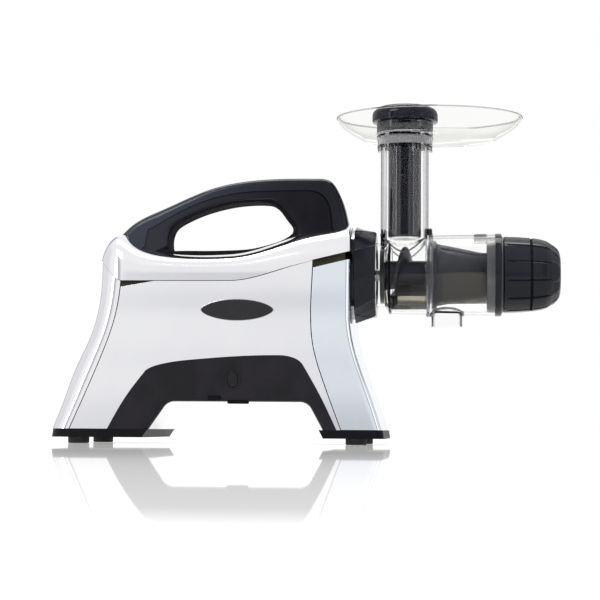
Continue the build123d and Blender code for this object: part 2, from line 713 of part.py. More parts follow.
for bearing_name, bearing_x in (("bearing_front", CASE_BACK_X - BEARING_WIDTH), ("bearing_rear", BELL_BACK_X)):
    with BuildPart() as bearing:
        add(disc(0, MOTOR_Z, bearing_x, bearing_x + BEARING_WIDTH, BEARING_RADIUS,
                 MOTOR_SHAFT_RADIUS + RUNNING_FIT))
    finish(bearing, bearing_name)

MOTOR_PINION_X = FIRST_GEAR_X - PINION_EXTRA
MOTOR_PINION_WIDTH = FIRST_GEAR_WIDTH + 2 * PINION_EXTRA

with BuildPart() as rotor:
    add(disc(0, MOTOR_Z, FAN_X, MOTOR_PINION_X + MOTOR_PINION_WIDTH, MOTOR_SHAFT_RADIUS * 0.6))
    add(disc(0, MOTOR_Z, FAN_X, FIRST_GEAR_X - PINION_EXTRA, MOTOR_SHAFT_RADIUS))
    add(disc(0, MOTOR_Z, STATOR_X + 1, STATOR_END_X - 1, ROTOR_RADIUS))
finish(rotor, "rotor")

with BuildPart() as fan:
    add(disc(0, MOTOR_Z, FAN_X, FAN_X + FAN_WIDTH, MOTOR_SHAFT_RADIUS + 3.5, MOTOR_SHAFT_RADIUS))
    add(disc(0, MOTOR_Z, FAN_X, FAN_X + 1.6, FAN_RADIUS, MOTOR_SHAFT_RADIUS))
    with BuildSketch(ring_plane(FAN_X + 1.6, MOTOR_Z)):
        with PolarLocations((FAN_RADIUS + MOTOR_SHAFT_RADIUS + 3.5) / 2, FAN_BLADES):
            Rectangle(FAN_RADIUS - MOTOR_SHAFT_RADIUS - 4.5, 1.6)
    extrude(amount=FAN_WIDTH - 1.6)
finish(fan, "fan")


# ================================================================ gear train
def involute(base_radius, radius):
    """Angle of an involute point at a radius, from where it leaves the base circle."""
    pressure = acos(min(1.0, base_radius / radius))
    return tan(pressure) - pressure


def gear_outline(teeth, module, phase):
    """Closed spur gear outline, with its first tooth centred on the phase angle (radians)."""
    pitch_radius = module * teeth / 2
    base_radius = pitch_radius * cos(radians(PRESSURE_ANGLE))
    tip_radius = pitch_radius + 0.8 * module
    root_radius = pitch_radius - 1.05 * module
    start_radius = max(base_radius, root_radius)
    half_tooth = (pi * module / 2 - BACKLASH / 2) / 2 / pitch_radius + involute(base_radius, pitch_radius)
    steps = 3
    flank = []
    if base_radius > root_radius:
        flank.append((root_radius, half_tooth))
    for step in range(steps + 1):
        radius = start_radius + (tip_radius - start_radius) * step / steps
        flank.append((radius, half_tooth - involute(base_radius, radius)))
    points = []
    for tooth in range(teeth):
        centre = phase + 2 * pi * tooth / teeth
        side = [(radius, centre - angle) for radius, angle in flank]
        side += [(radius, centre + angle) for radius, angle in reversed(flank)]
        points += [(radius * cos(angle), radius * sin(angle)) for radius, angle in side]
    Polyline(*points, close=True)


def spur_gear(axis_y, axis_z, start_x, width, teeth, module, phase, bore):
    with BuildPart() as gear:
        with BuildSketch(Plane(origin=(start_x, axis_y, axis_z), x_dir=(0, 1, 0), z_dir=(1, 0, 0))):
            with BuildLine():
                gear_outline(teeth, module, phase)
            make_face()
            Circle(bore, mode=Mode.SUBTRACT)
        extrude(amount=width)
    return gear.part


# Angles from one gear centre to the next, seen along +X.
TO_COUNTER = atan2(COUNTER_Z - MOTOR_Z, COUNTER_Y)
TO_OUTPUT = atan2(AXIS_Z - COUNTER_Z, -COUNTER_Y)

with BuildPart() as motor_pinion:
    add(spur_gear(0, MOTOR_Z, MOTOR_PINION_X, MOTOR_PINION_WIDTH, MOTOR_PINION_TEETH, FIRST_MODULE,
                  TO_COUNTER, MOTOR_SHAFT_RADIUS * 0.6))
finish(motor_pinion, "motor_pinion")

with BuildPart() as first_gear:
    add(spur_gear(COUNTER_Y, COUNTER_Z, FIRST_GEAR_X, FIRST_GEAR_WIDTH, FIRST_TEETH, FIRST_MODULE,
                  TO_COUNTER + pi + pi / FIRST_TEETH, COUNTER_SHAFT_RADIUS))
finish(first_gear, "first_gear")

COUNTER_PINION_X = OUTPUT_GEAR_X - PINION_EXTRA

with BuildPart() as counter_pinion:
    add(spur_gear(COUNTER_Y, COUNTER_Z, COUNTER_PINION_X, OUTPUT_GEAR_WIDTH + 2 * PINION_EXTRA,
                  COUNTER_PINION_TEETH, OUTPUT_MODULE, TO_OUTPUT, COUNTER_SHAFT_RADIUS))
finish(counter_pinion, "counter_pinion")

with BuildPart() as counter_shaft:
    add(disc(COUNTER_Y, COUNTER_Z, CASE_BACK_X, COVER_END_X, COUNTER_SHAFT_RADIUS))
finish(counter_shaft, "counter_shaft")

with BuildPart() as output_gear:
    add(spur_gear(0, AXIS_Z, OUTPUT_GEAR_X, OUTPUT_GEAR_WIDTH, OUTPUT_TEETH, OUTPUT_MODULE,
                  TO_OUTPUT + pi + pi / OUTPUT_TEETH, GEAR_SEAT_RADIUS))
finish(output_gear, "output_gear")

SOCKET_DEPTH = 18.0

with BuildPart() as output_shaft:
    add(turned(0, AXIS_Z, (PLATE_X, 0), (HUB_END_X, 0), (HUB_END_X, HUB_RADIUS),
               (OUTPUT_GEAR_X + OUTPUT_GEAR_WIDTH, HUB_RADIUS),
               (OUTPUT_GEAR_X + OUTPUT_GEAR_WIDTH, GEAR_SEAT_RADIUS),
               (PLATE_X + PLATE_THICKNESS + 1, GEAR_SEAT_RADIUS),
               (PLATE_X + PLATE_THICKNESS + 1, STUB_RADIUS), (PLATE_X, STUB_RADIUS)))
    with BuildSketch(ring_plane(HUB_END_X)):
        RegularPolygon(HUB_HEX / 2, 6, major_radius=False)
    extrude(amount=-SOCKET_DEPTH, mode=Mode.SUBTRACT)
finish(output_shaft, "output_shaft")

FIRST_TIP = FIRST_MODULE * (FIRST_TEETH / 2 + 0.8)
OUTPUT_TIP = OUTPUT_MODULE * (OUTPUT_TEETH / 2 + 0.8)
MOTOR_PINION_TIP = FIRST_MODULE * (MOTOR_PINION_TEETH / 2 + 0.8)
COUNTER_PINION_TIP = OUTPUT_MODULE * (COUNTER_PINION_TEETH / 2 + 0.8)


def case_outline(x, grown, circles):
    """Band round a set of gear circles, (y, z, radius) each, grown by a wall."""
    with BuildSketch(Plane(origin=(x, 0, 0), x_dir=(0, 1, 0), z_dir=(1, 0, 0))) as section:
        for y, z, radius in circles:
            with Locations((y, z)):
                Circle(radius + grown)
        make_hull()
    return section.sketch


FIRST_STAGE = ((0, MOTOR_Z, MOTOR_PINION_TIP + GEAR_FIT), (COUNTER_Y, COUNTER_Z, FIRST_TIP + GEAR_FIT))
OUTPUT_STAGE = ((COUNTER_Y, COUNTER_Z, COUNTER_PINION_TIP + GEAR_FIT), (0, AXIS_Z, OUTPUT_TIP + GEAR_FIT))

with BuildPart() as gearbox_case:
    extrude(case_outline(CASE_BACK_X, CASE_WALL, FIRST_STAGE), amount=PLATE_X - CASE_BACK_X)
    extrude(case_outline(CASE_BACK_X + CASE_WALL, 0, FIRST_STAGE), amount=PLATE_X - CASE_BACK_X - CASE_WALL,
            mode=Mode.SUBTRACT)
    add(disc(0, MOTOR_Z, CASE_BACK_X, PLATE_X, MOTOR_SHAFT_RADIUS + 1.0), mode=Mode.SUBTRACT)
    add(disc(COUNTER_Y, COUNTER_Z, CASE_BACK_X, PLATE_X, COUNTER_SHAFT_RADIUS + RUNNING_FIT),
        mode=Mode.SUBTRACT)
finish(gearbox_case, "gearbox_case")

CHASSIS_THICKNESS = 3.0
CHASSIS_Z = ARCH_CEILING + SHELL_WALL
CHASSIS_TOP = CHASSIS_Z + CHASSIS_THICKNESS
CHASSIS_BACK_X = share(0.575)
CHASSIS_HALF_WIDTH = 50.0
LEG_HALF_WIDTH = 24.0

with BuildPart() as gearbox_plate:
    extrude(case_outline(PLATE_X, CASE_WALL, FIRST_STAGE + OUTPUT_STAGE), amount=PLATE_THICKNESS)
    with BuildSketch(ring_plane(PLATE_X, (CHASSIS_TOP + MOTOR_Z) / 2)):
        Rectangle(2 * LEG_HALF_WIDTH, MOTOR_Z - CHASSIS_TOP)
    extrude(amount=PLATE_THICKNESS)
    add(disc(0, AXIS_Z, PLATE_X, PLATE_X + PLATE_THICKNESS, STUB_RADIUS + RUNNING_FIT), mode=Mode.SUBTRACT)
    add(disc(COUNTER_Y, COUNTER_Z, PLATE_X, PLATE_X + PLATE_THICKNESS, COUNTER_SHAFT_RADIUS + RUNNING_FIT),
        mode=Mode.SUBTRACT)
    add(disc(0, MOTOR_Z, PLATE_X, PLATE_X + 0.5, MOTOR_SHAFT_RADIUS), mode=Mode.SUBTRACT)
finish(gearbox_plate, "gearbox_plate")

COVER_START_X = PLATE_X + PLATE_THICKNESS

with BuildPart() as gearbox_cover:
    extrude(case_outline(COVER_START_X, CASE_WALL, OUTPUT_STAGE), amount=COVER_END_X - COVER_START_X)
    extrude(case_outline(COVER_START_X, 0, OUTPUT_STAGE), amount=COVER_X - COVER_START_X, mode=Mode.SUBTRACT)
    add(disc(0, AXIS_Z, COVER_START_X, COVER_END_X, HUB_RADIUS + RUNNING_FIT), mode=Mode.SUBTRACT)
    add(disc(COUNTER_Y, COUNTER_Z, COVER_START_X, COVER_END_X, COUNTER_SHAFT_RADIUS + RUNNING_FIT),
        mode=Mode.SUBTRACT)
finish(gearbox_cover, "gearbox_cover")

# ================================================================ chassis and electrics
SADDLE_THICKNESS = 6.0
SADDLE_HALF_WIDTH = 30.0
SADDLE_TOP = MOTOR_Z - STATOR_RADIUS * 0.45

with BuildPart() as chassis:
    with BuildSketch(Plane.XY.offset(CHASSIS_Z)):
        with Locations(((CHASSIS_BACK_X + COVER_START_X) / 2, 0)):
            RectangleRounded(COVER_START_X - CHASSIS_BACK_X, 2 * CHASSIS_HALF_WIDTH, 6.0)
    extrude(amount=CHASSIS_THICKNESS)
    for saddle_x in (STATOR_X + 4, STATOR_END_X - 4 - SADDLE_THICKNESS):
        with BuildSketch(ring_plane(saddle_x, (CHASSIS_TOP + SADDLE_TOP) / 2)):
            Rectangle(2 * SADDLE_HALF_WIDTH, SADDLE_TOP - CHASSIS_TOP)
        extrude(amount=SADDLE_THICKNESS)
    add(disc(0, MOTOR_Z, CHASSIS_BACK_X, COVER_START_X, STATOR_RADIUS), mode=Mode.SUBTRACT)
finish(chassis, "chassis")

CAPACITOR_RADIUS = 9.0
CAPACITOR_LENGTH = 44.0
CAPACITOR_Y = -CHASSIS_HALF_WIDTH + CAPACITOR_RADIUS + 1

with BuildPart() as capacitor:
    add(disc(CAPACITOR_Y, CHASSIS_TOP + CAPACITOR_RADIUS, STATOR_X - 20, STATOR_X - 20 + CAPACITOR_LENGTH,
             CAPACITOR_RADIUS))
finish(capacitor, "capacitor")

BOARD_LENGTH = 60.0
BOARD_HEIGHT = 34.0

with BuildPart() as control_board:
    with Locations((STATOR_X + 10, CHASSIS_HALF_WIDTH - 8, CHASSIS_TOP + BOARD_HEIGHT / 2)):
        Box(BOARD_LENGTH, 1.6, BOARD_HEIGHT)
    with Locations((STATOR_X, CHASSIS_HALF_WIDTH - 8 - 6, CHASSIS_TOP + BOARD_HEIGHT / 2)):
        Box(18, 11, 15)
finish(control_board, "control_board")

# ================================================================ drum socket and lock collar
FLANGE_RADIUS = 30.7
FLANGE_LENGTH = 4.0
BAYONET_INNER = 31.0
BAYONET_OUTER = 34.5
BAYONET_LENGTH = 8.0
HUB_GAP = 0.4

with BuildPart() as socket_boss:
    add(turned(0, AXIS_Z, (COVER_END_X, HUB_RADIUS + HUB_GAP), (COLLAR_X, HUB_RADIUS + HUB_GAP),
               (COLLAR_X, FLANGE_RADIUS), (FACE_X, FLANGE_RADIUS), (FACE_X, SOCKET_RADIUS),
               (COVER_END_X, SOCKET_RADIUS)))
finish(socket_boss, "socket_boss")

with BuildPart() as bayonet_ring:
    add(disc(0, AXIS_Z, FACE_X, FACE_X + BAYONET_LENGTH, BAYONET_OUTER, BAYONET_INNER))
finish(bayonet_ring, "bayonet_ring")

COLLAR_LIP_X = FACE_X + BAYONET_LENGTH + FACE_GAP
COLLAR_ROUND = 2.0

with BuildPart() as lock_collar:
    add(turned(0, AXIS_Z, (COLLAR_X, BAYONET_OUTER + SPIN_GAP), (COLLAR_X, COLLAR_BACK_RADIUS),
               (COLLAR_END_X, COLLAR_FRONT_RADIUS), (COLLAR_END_X, NECK_RADIUS + SPIN_GAP),
               (COLLAR_LIP_X, NECK_RADIUS + SPIN_GAP), (COLLAR_LIP_X, BAYONET_OUTER + SPIN_GAP)))
    fillet(lock_collar.edges().group_by(Axis.X)[-1].sort_by(SortBy.RADIUS)[-1], COLLAR_ROUND)
finish(lock_collar, "lock_collar")

# ================================================================ auger
AUGER_FLANGE_RADIUS = NECK_RADIUS - NECK_WALL - SPIN_GAP
SHAFT_RADIUS = 5.3
SCREEN_X = DRUM_X + 36.5    # where the screen's rear ring starts
SCREEN_RING_LENGTH = 8.0
SCREEN_CONE_LENGTH = 38.0
SCREEN_NOSE_LENGTH = 5.2
SCREEN_WALL = 2.0
MESH_THICKNESS = 0.5
MESH_GAP = 0.1
SCREEN_GAP = 1.6            # screen ring inside the drum
CONE_STEP = 2.9             # cone's back end inside the screen ring
CONE_TAPER = 7.9
SCREEN_RING_RADIUS = DRUM_RADIUS - DRUM_WALL - SCREEN_GAP
CONE_BACK_RADIUS = SCREEN_RING_RADIUS - CONE_STEP
CONE_FRONT_RADIUS = CONE_BACK_RADIUS - CONE_TAPER
CONE_X = SCREEN_X + SCREEN_RING_LENGTH
SCREEN_NOSE_X = CONE_X + SCREEN_CONE_LENGTH
AUGER_CLEAR = 0.6
AUGER_END_X = SCREEN_NOSE_X - 1.0
LINER = SCREEN_WALL + MESH_GAP + MESH_THICKNESS + AUGER_CLEAR
FLIGHT_BACK_RADIUS = CONE_BACK_RADIUS - LINER
FLIGHT_FRONT_RADIUS = CONE_FRONT_RADIUS - LINER
AUGER_NOSE_RADIUS = 7.0
FLIGHT_PEAK_X = DRUM_X + 17.4   # where the flight stands straight up
FLIGHT_STEP = 20            # degrees between its sections
FLIGHT_START_X = DRUM_X + FLIGHT_FOOT / 2 - 2.0
FLIGHT_END_X = AUGER_END_X - FLIGHT_FOOT / 2


def flight_section(x):
    """Cross-section of the flight in the plane through the axis that it crosses at x."""
    angle = radians(90 - 360 * (x - FLIGHT_PEAK_X) / FLIGHT_PITCH)
    taper = max(0.0, (x - CONE_X) / (AUGER_END_X - CONE_X))
    radius = FLIGHT_BACK_RADIUS + (FLIGHT_FRONT_RADIUS - FLIGHT_BACK_RADIUS) * taper
    foot = AUGER_CORE * 0.7 + (AUGER_NOSE_RADIUS - AUGER_CORE) * 0.7 * taper
    plane = Plane(origin=(x, 0, AXIS_Z), x_dir=(1, 0, 0), z_dir=(0, -sin(angle), cos(angle)))
    with BuildSketch(plane) as section:
        with BuildLine():
            Polyline((-FLIGHT_FOOT / 2, foot), (FLIGHT_FOOT / 2, foot), (FLIGHT_TIP / 2, radius),
                     (-FLIGHT_TIP / 2, radius), close=True)
        make_face()
    return section.sketch


flight_steps = int((FLIGHT_END_X - FLIGHT_START_X) / (FLIGHT_PITCH * FLIGHT_STEP / 360))

with BuildPart(mode=Mode.PRIVATE) as flight:
    loft([flight_section(FLIGHT_START_X + FLIGHT_PITCH * FLIGHT_STEP / 360 * step)
          for step in range(flight_steps + 1)], ruled=True)

with BuildPart() as auger:
    add(flight.part)
    add(turned(0, AXIS_Z, (FLANGE_X, 0), (SCREEN_NOSE_X, 0), (SCREEN_NOSE_X, AUGER_NOSE_RADIUS - 1),
               (AUGER_END_X, AUGER_NOSE_RADIUS), (CONE_X + SCREEN_CONE_LENGTH * 0.5, AUGER_CORE),
               (DRUM_X, AUGER_CORE), (DRUM_X, AUGER_FLANGE_RADIUS), (FLANGE_X, AUGER_FLANGE_RADIUS)))
    add(disc(0, AXIS_Z, FLANGE_X, FLANGE_X + 12, SHAFT_RADIUS), mode=Mode.SUBTRACT)
finish(auger, "auger")

SHAFT_BACK_X = HUB_END_X - SOCKET_DEPTH + 1

with BuildPart() as auger_shaft:
    with BuildSketch(ring_plane(SHAFT_BACK_X)):
        RegularPolygon(HUB_HEX / 2, 6, major_radius=False)
    extrude(amount=HUB_END_X + 1.0 - SHAFT_BACK_X)
    add(disc(0, AXIS_Z, HUB_END_X + 1.0, FLANGE_X + 12, SHAFT_RADIUS))
finish(auger_shaft, "auger_shaft")


# ================================================================ clear drum with feed tube and spout
NECK_END_X = FLANGE_X + FLANGE_THICKNESS * 0.9
SHOULDER_X = DRUM_X + 3.0
NECK_FLOOR_X = COLLAR_END_X - 4.0
NECK_FLOOR_THICKNESS = 3.0
SHAFT_HOLE_GAP = 0.5
TUBE_INNER_WIDTH = TUBE_WIDTH - 2 * TUBE_WALL
TUBE_INNER_BREADTH = TUBE_BREADTH - 2 * TUBE_WALL
SPOUT_X = DRUM_X + 39.8
SPOUT_BREADTH = 24.0
SPOUT_WALL = 2.0
SPOUT_Z = AXIS_Z - SPOUT_DROP


def tube_section(z, width, breadth, corner):
    with BuildSketch(Plane.XY.offset(z)) as section:
        with Locations((TUBE_X, 0)):
            RectangleRounded(width, breadth, corner)
    return section.sketch


def spout_section(z, inset):
    with BuildSketch(Plane.XY.offset(z)) as section:
        with Locations((SPOUT_X + SPOUT_WIDTH / 2, 0)):
            RectangleRounded(SPOUT_WIDTH - 2 * inset, SPOUT_BREADTH - 2 * inset, 4.0 - inset)
    return section.sketch


with BuildPart(mode=Mode.PRIVATE) as drum_outer:
    add(turned(0, AXIS_Z, (COLLAR_X, 0), (COLLAR_X, FLANGE_RADIUS), (COLLAR_X + FLANGE_LENGTH, FLANGE_RADIUS),
               (COLLAR_X + FLANGE_LENGTH, NECK_RADIUS), (NECK_END_X, NECK_RADIUS),
               (SHOULDER_X, DRUM_RADIUS), (END_RING_X, DRUM_END_RADIUS), (END_RING_X, 0)))

with BuildPart(mode=Mode.PRIVATE) as tube_bore:
    extrude(tube_section(AXIS_Z, TUBE_INNER_WIDTH, TUBE_INNER_BREADTH, TUBE_CORNER - TUBE_WALL),
            amount=TUBE_TOP - AXIS_Z)

with BuildPart() as feed_tube:
    extrude(tube_section(AXIS_Z, TUBE_WIDTH, TUBE_BREADTH, TUBE_CORNER), amount=TUBE_TOP - AXIS_Z)
    add(tube_bore.part, mode=Mode.SUBTRACT)
    add(drum_outer.part, mode=Mode.SUBTRACT)
finish(feed_tube, "feed_tube")

with BuildPart() as drum:
    add(drum_outer.part)
    extrude(spout_section(SPOUT_Z, 0), amount=SPOUT_DROP)
    add(turned(0, AXIS_Z, (COLLAR_X, 0), (COLLAR_X, NECK_RADIUS - NECK_WALL),
               (NECK_END_X + DRUM_WALL, NECK_RADIUS - NECK_WALL),
               (SHOULDER_X + DRUM_WALL, DRUM_RADIUS - DRUM_WALL), (END_RING_X, DRUM_END_RADIUS - DRUM_WALL),
               (END_RING_X, 0)), mode=Mode.SUBTRACT)
    add(tube_bore.part, mode=Mode.SUBTRACT)
    extrude(spout_section(SPOUT_Z, SPOUT_WALL), amount=SPOUT_DROP, mode=Mode.SUBTRACT)
    add(disc(0, AXIS_Z, NECK_FLOOR_X, NECK_FLOOR_X + NECK_FLOOR_THICKNESS, NECK_RADIUS - NECK_WALL,
             SHAFT_RADIUS + SHAFT_HOLE_GAP))
finish(drum, "drum")

# ================================================================ juicing screen
TROUGH_RADIUS = SCREEN_RING_RADIUS
TROUGH_TOP_Z = AXIS_Z - 14.0
TROUGH_START_X = SHOULDER_X + DRUM_WALL + 1.5
CONE_SLOTS = 12
SLOT_MARGIN = 4.0


def cone_shell(outer_inset, inner_inset):
    """Slice of the screen's cone between two depths below its outside."""
    return turned(0, AXIS_Z, (CONE_X, CONE_BACK_RADIUS - outer_inset),
                  (SCREEN_NOSE_X, CONE_FRONT_RADIUS - outer_inset),
                  (SCREEN_NOSE_X, CONE_FRONT_RADIUS - inner_inset), (CONE_X, CONE_BACK_RADIUS - inner_inset))


with BuildPart(mode=Mode.PRIVATE) as trough:
    add(disc(0, AXIS_Z, TROUGH_START_X, SCREEN_X, TROUGH_RADIUS, TROUGH_RADIUS - SCREEN_WALL))
    with Locations((TROUGH_START_X, 0, TROUGH_TOP_Z + AXIS_Z)):
        Box(BODY_DEPTH, 2 * SIDE_REACH, 2 * AXIS_Z, mode=Mode.SUBTRACT)

with BuildPart(mode=Mode.PRIVATE) as cone_slots:
    with BuildSketch(ring_plane(CONE_X + SLOT_MARGIN)):
        with PolarLocations(CONE_BACK_RADIUS, CONE_SLOTS):
            Rectangle(CONE_BACK_RADIUS, 2 * pi * CONE_FRONT_RADIUS / CONE_SLOTS * 0.55)
    extrude(amount=SCREEN_CONE_LENGTH - 2 * SLOT_MARGIN)

with BuildPart() as screen_frame:
    add(trough.part)
    with BuildSketch(Plane.XY.offset(TROUGH_TOP_Z)):
        with Locations(((TROUGH_START_X + SCREEN_X) / 2, 0)):
            Rectangle(SCREEN_X - TROUGH_START_X - 2 * SLOT_MARGIN, TROUGH_RADIUS * 0.9)
    extrude(amount=-TROUGH_RADIUS, mode=Mode.SUBTRACT)
    add(disc(0, AXIS_Z, SCREEN_X, CONE_X, SCREEN_RING_RADIUS, CONE_BACK_RADIUS - SCREEN_WALL))
    add(cone_shell(0, SCREEN_WALL))
    add(cone_slots.part, mode=Mode.SUBTRACT)
    add(disc(0, AXIS_Z, SCREEN_NOSE_X, SCREEN_NOSE_X + SCREEN_NOSE_LENGTH, CONE_FRONT_RADIUS,
             CONE_FRONT_RADIUS - SCREEN_WALL))
finish(screen_frame, "screen_frame")

with BuildPart() as cone_mesh:
    add(cone_shell(SCREEN_WALL + MESH_GAP, SCREEN_WALL + MESH_GAP + MESH_THICKNESS))
finish(cone_mesh, "cone_mesh")

with BuildPart() as trough_mesh:
    add(disc(0, AXIS_Z, TROUGH_START_X, SCREEN_X, TROUGH_RADIUS - SCREEN_WALL - MESH_GAP,
             TROUGH_RADIUS - SCREEN_WALL - MESH_GAP - MESH_THICKNESS))
    with Locations((TROUGH_START_X, 0, TROUGH_TOP_Z + AXIS_Z)):
        Box(BODY_DEPTH, 2 * SIDE_REACH, 2 * AXIS_Z, mode=Mode.SUBTRACT)
finish(trough_mesh, "trough_mesh")

# ================================================================ drum end, pulp nozzle and cap
SEAL_X = SCREEN_NOSE_X + SCREEN_NOSE_LENGTH
SEAL_SLACK = 0.6
NOZZLE_RADIUS = 12.0
NOZZLE_WALL = 2.2
NOZZLE_LENGTH = CAP_LENGTH - 8.0
GASKET_THICKNESS = 0.9
EXIT_RADIUS = 9.8

with BuildPart() as drum_seal:
    add(disc(0, AXIS_Z, SEAL_X, END_RING_X, DRUM_END_RADIUS - DRUM_WALL, CONE_FRONT_RADIUS - SCREEN_WALL))
    add(turned(0, AXIS_Z, (SEAL_X, DRUM_END_RADIUS - DRUM_WALL - SEAL_SLACK),
               (END_RING_X, DRUM_END_RADIUS - DRUM_WALL - SEAL_SLACK / 3), (END_RING_X, DRUM_END_RADIUS),
               (SEAL_X, DRUM_END_RADIUS)), mode=Mode.SUBTRACT)
finish(drum_seal, "drum_seal")

with BuildPart() as drum_end_ring:
    add(disc(0, AXIS_Z, END_RING_X, END_RING_X + END_RING_LENGTH, END_RING_RADIUS, NOZZLE_RADIUS))
    chamfer(drum_end_ring.edges().group_by(Axis.X)[-1].sort_by(SortBy.RADIUS)[-1], 0.8)
finish(drum_end_ring, "drum_end_ring")

with BuildPart() as cap_gasket:
    add(disc(0, AXIS_Z, END_RING_X + END_RING_LENGTH, END_RING_X + END_RING_LENGTH + GASKET_THICKNESS,
             CAP_RADIUS - 0.4, CAP_RADIUS - 3.0))
finish(cap_gasket, "cap_gasket")

with BuildPart() as pulp_nozzle:
    add(turned(0, AXIS_Z, (END_RING_X, NOZZLE_RADIUS - NOZZLE_WALL), (END_RING_X, NOZZLE_RADIUS),
               (CAP_X + NOZZLE_LENGTH, NOZZLE_RADIUS - 2.0),
               (CAP_X + NOZZLE_LENGTH, NOZZLE_RADIUS - 2.0 - NOZZLE_WALL)))
finish(pulp_nozzle, "pulp_nozzle")

CAP_GRIPS = 12
GRIP_DEPTH = 0.7


def cap_outline(inset):
    """Half profile of the cap: a slow taper that rounds over into a blunt nose."""
    nose = NOSE_X - inset
    rim = (CAP_X, CAP_RADIUS - inset)
    waist = (CAP_X + CAP_LENGTH * 0.50, CAP_RADIUS - 1.8 - inset)
    brow = (nose - CAP_LENGTH * 0.19, CAP_NOSE_RADIUS + 7.2 - inset)
    shoulder = (nose - CAP_LENGTH * 0.075, CAP_NOSE_RADIUS + 2.6 - inset)
    tip = (nose, CAP_NOSE_RADIUS - 4.0 - inset)
    Line((CAP_X, 0), rim)
    Line(rim, waist)
    Spline(waist, brow, shoulder, tip, tangents=((1, -0.08), (0.05, -1)))
    Line(tip, (nose, 0))
    Line((nose, 0), (CAP_X, 0))


def cap_form(inset):
    with BuildPart() as form:
        with BuildSketch(Plane.XZ):
            with BuildLine():
                cap_outline(inset)
            make_face()
        revolve(axis=Axis.X)
    return form.part.moved(Location((0, 0, AXIS_Z)))


with BuildPart() as pulp_cap:
    add(cap_form(0))
    with BuildSketch(ring_plane(CAP_X + CAP_LENGTH * 0.08)):
        with PolarLocations(CAP_RADIUS + 1.5, CAP_GRIPS):
            Circle(1.5 + GRIP_DEPTH)
    extrude(amount=CAP_LENGTH * 0.5, mode=Mode.SUBTRACT)
    add(cap_form(CAP_WALL), mode=Mode.SUBTRACT)
    add(disc(0, AXIS_Z, CAP_X, NOSE_X, EXIT_RADIUS), mode=Mode.SUBTRACT)
finish(pulp_cap, "pulp_cap")

# ================================================================ feed tray and pusher
SLEEVE_WALL = 2.6
SLEEVE_RISE = 2.0           # tray hub above the tube's top
TRAY_FLOOR_Z = TUBE_TOP - 2.0
FLOOR_WIDTH = TRAY_WIDTH * 0.735
FLOOR_BREADTH = TRAY_BREADTH * 0.735
RIM_Z = TRAY_FLOOR_Z + TRAY_DEPTH


def tray_form(inset, low, high):
    """Oval dish between two heights, a wall thickness smaller all round."""
    with BuildPart() as form:
        sections = []
        for z, rise in ((low, 0.0), ((low + high) / 2, 0.66), (high, 1.0)):
            with BuildSketch(Plane.XY.offset(z)) as section:
                with Locations((TRAY_X, 0)):
                    Ellipse((FLOOR_WIDTH + (TRAY_WIDTH - FLOOR_WIDTH) * rise) / 2 - inset,
                            (FLOOR_BREADTH + (TRAY_BREADTH - FLOOR_BREADTH) * rise) / 2 - inset)
            sections.append(section.sketch)
        loft(sections)
    return form.part


with BuildPart() as feed_tray:
    add(tray_form(0, TRAY_FLOOR_Z, RIM_Z))
    add(tray_form(TRAY_WALL, TRAY_FLOOR_Z + TRAY_WALL, RIM_Z + 0.2), mode=Mode.SUBTRACT)
    extrude(tube_section(TUBE_TOP + SLEEVE_RISE - SLEEVE_LENGTH, TUBE_WIDTH + 2 * (SLIDE_GAP + SLEEVE_WALL),
                         TUBE_BREADTH + 2 * (SLIDE_GAP + SLEEVE_WALL), TUBE_CORNER + SLEEVE_WALL),
            amount=SLEEVE_LENGTH)
    extrude(tube_section(TUBE_TOP + SLEEVE_RISE - SLEEVE_LENGTH, TUBE_WIDTH + 2 * SLIDE_GAP,
                         TUBE_BREADTH + 2 * SLIDE_GAP, TUBE_CORNER + SLIDE_GAP),
            amount=SLEEVE_LENGTH - SLEEVE_RISE, mode=Mode.SUBTRACT)
    extrude(tube_section(TUBE_TOP - 1, TUBE_INNER_WIDTH, TUBE_INNER_BREADTH, TUBE_CORNER - TUBE_WALL),
            amount=SLEEVE_RISE + 2, mode=Mode.SUBTRACT)
finish(feed_tray, "feed_tray")

PUSHER_FOOT_Z = TUBE_TOP + SLEEVE_RISE - PUSHER_LENGTH
PUSHER_SHOULDER_WIDTH = PUSHER_CAP_WIDTH - 8.3
PUSHER_SHOULDER_HEIGHT = 10.0
PUSHER_CAP_HEIGHT = 14.0
PUSHER_CORNER = 13.0
SHOULDER_Z_LOW = TUBE_TOP + SLEEVE_RISE
SHOULDER_Z_HIGH = SHOULDER_Z_LOW + PUSHER_SHOULDER_HEIGHT

with BuildPart() as pusher:
    extrude(tube_section(PUSHER_FOOT_Z, PUSHER_WIDTH, PUSHER_BREADTH, PUSHER_CORNER), amount=PUSHER_LENGTH)
    extrude(tube_section(SHOULDER_Z_LOW, PUSHER_SHOULDER_WIDTH, PUSHER_SHOULDER_WIDTH,
                         PUSHER_SHOULDER_WIDTH * 0.45), amount=PUSHER_SHOULDER_HEIGHT)
    extrude(tube_section(PUSHER_FOOT_Z + PUSHER_WALL, PUSHER_WIDTH - 2 * PUSHER_WALL,
                         PUSHER_BREADTH - 2 * PUSHER_WALL, PUSHER_CORNER - PUSHER_WALL),
            amount=PUSHER_LENGTH + PUSHER_SHOULDER_HEIGHT, mode=Mode.SUBTRACT)
finish(pusher, "pusher")

with BuildPart() as pusher_cap:
    extrude(tube_section(SHOULDER_Z_HIGH, PUSHER_CAP_WIDTH, PUSHER_CAP_WIDTH, PUSHER_CAP_WIDTH * 0.48),
            amount=PUSHER_CAP_HEIGHT)
    fillet(pusher_cap.edges().group_by(Axis.Z)[-1], PUSHER_CAP_HEIGHT * 0.6)
finish(pusher_cap, "pusher_cap")
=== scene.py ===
import json
import math

import bmesh
import bpy
import numpy as np
from mathutils import Matrix, Vector


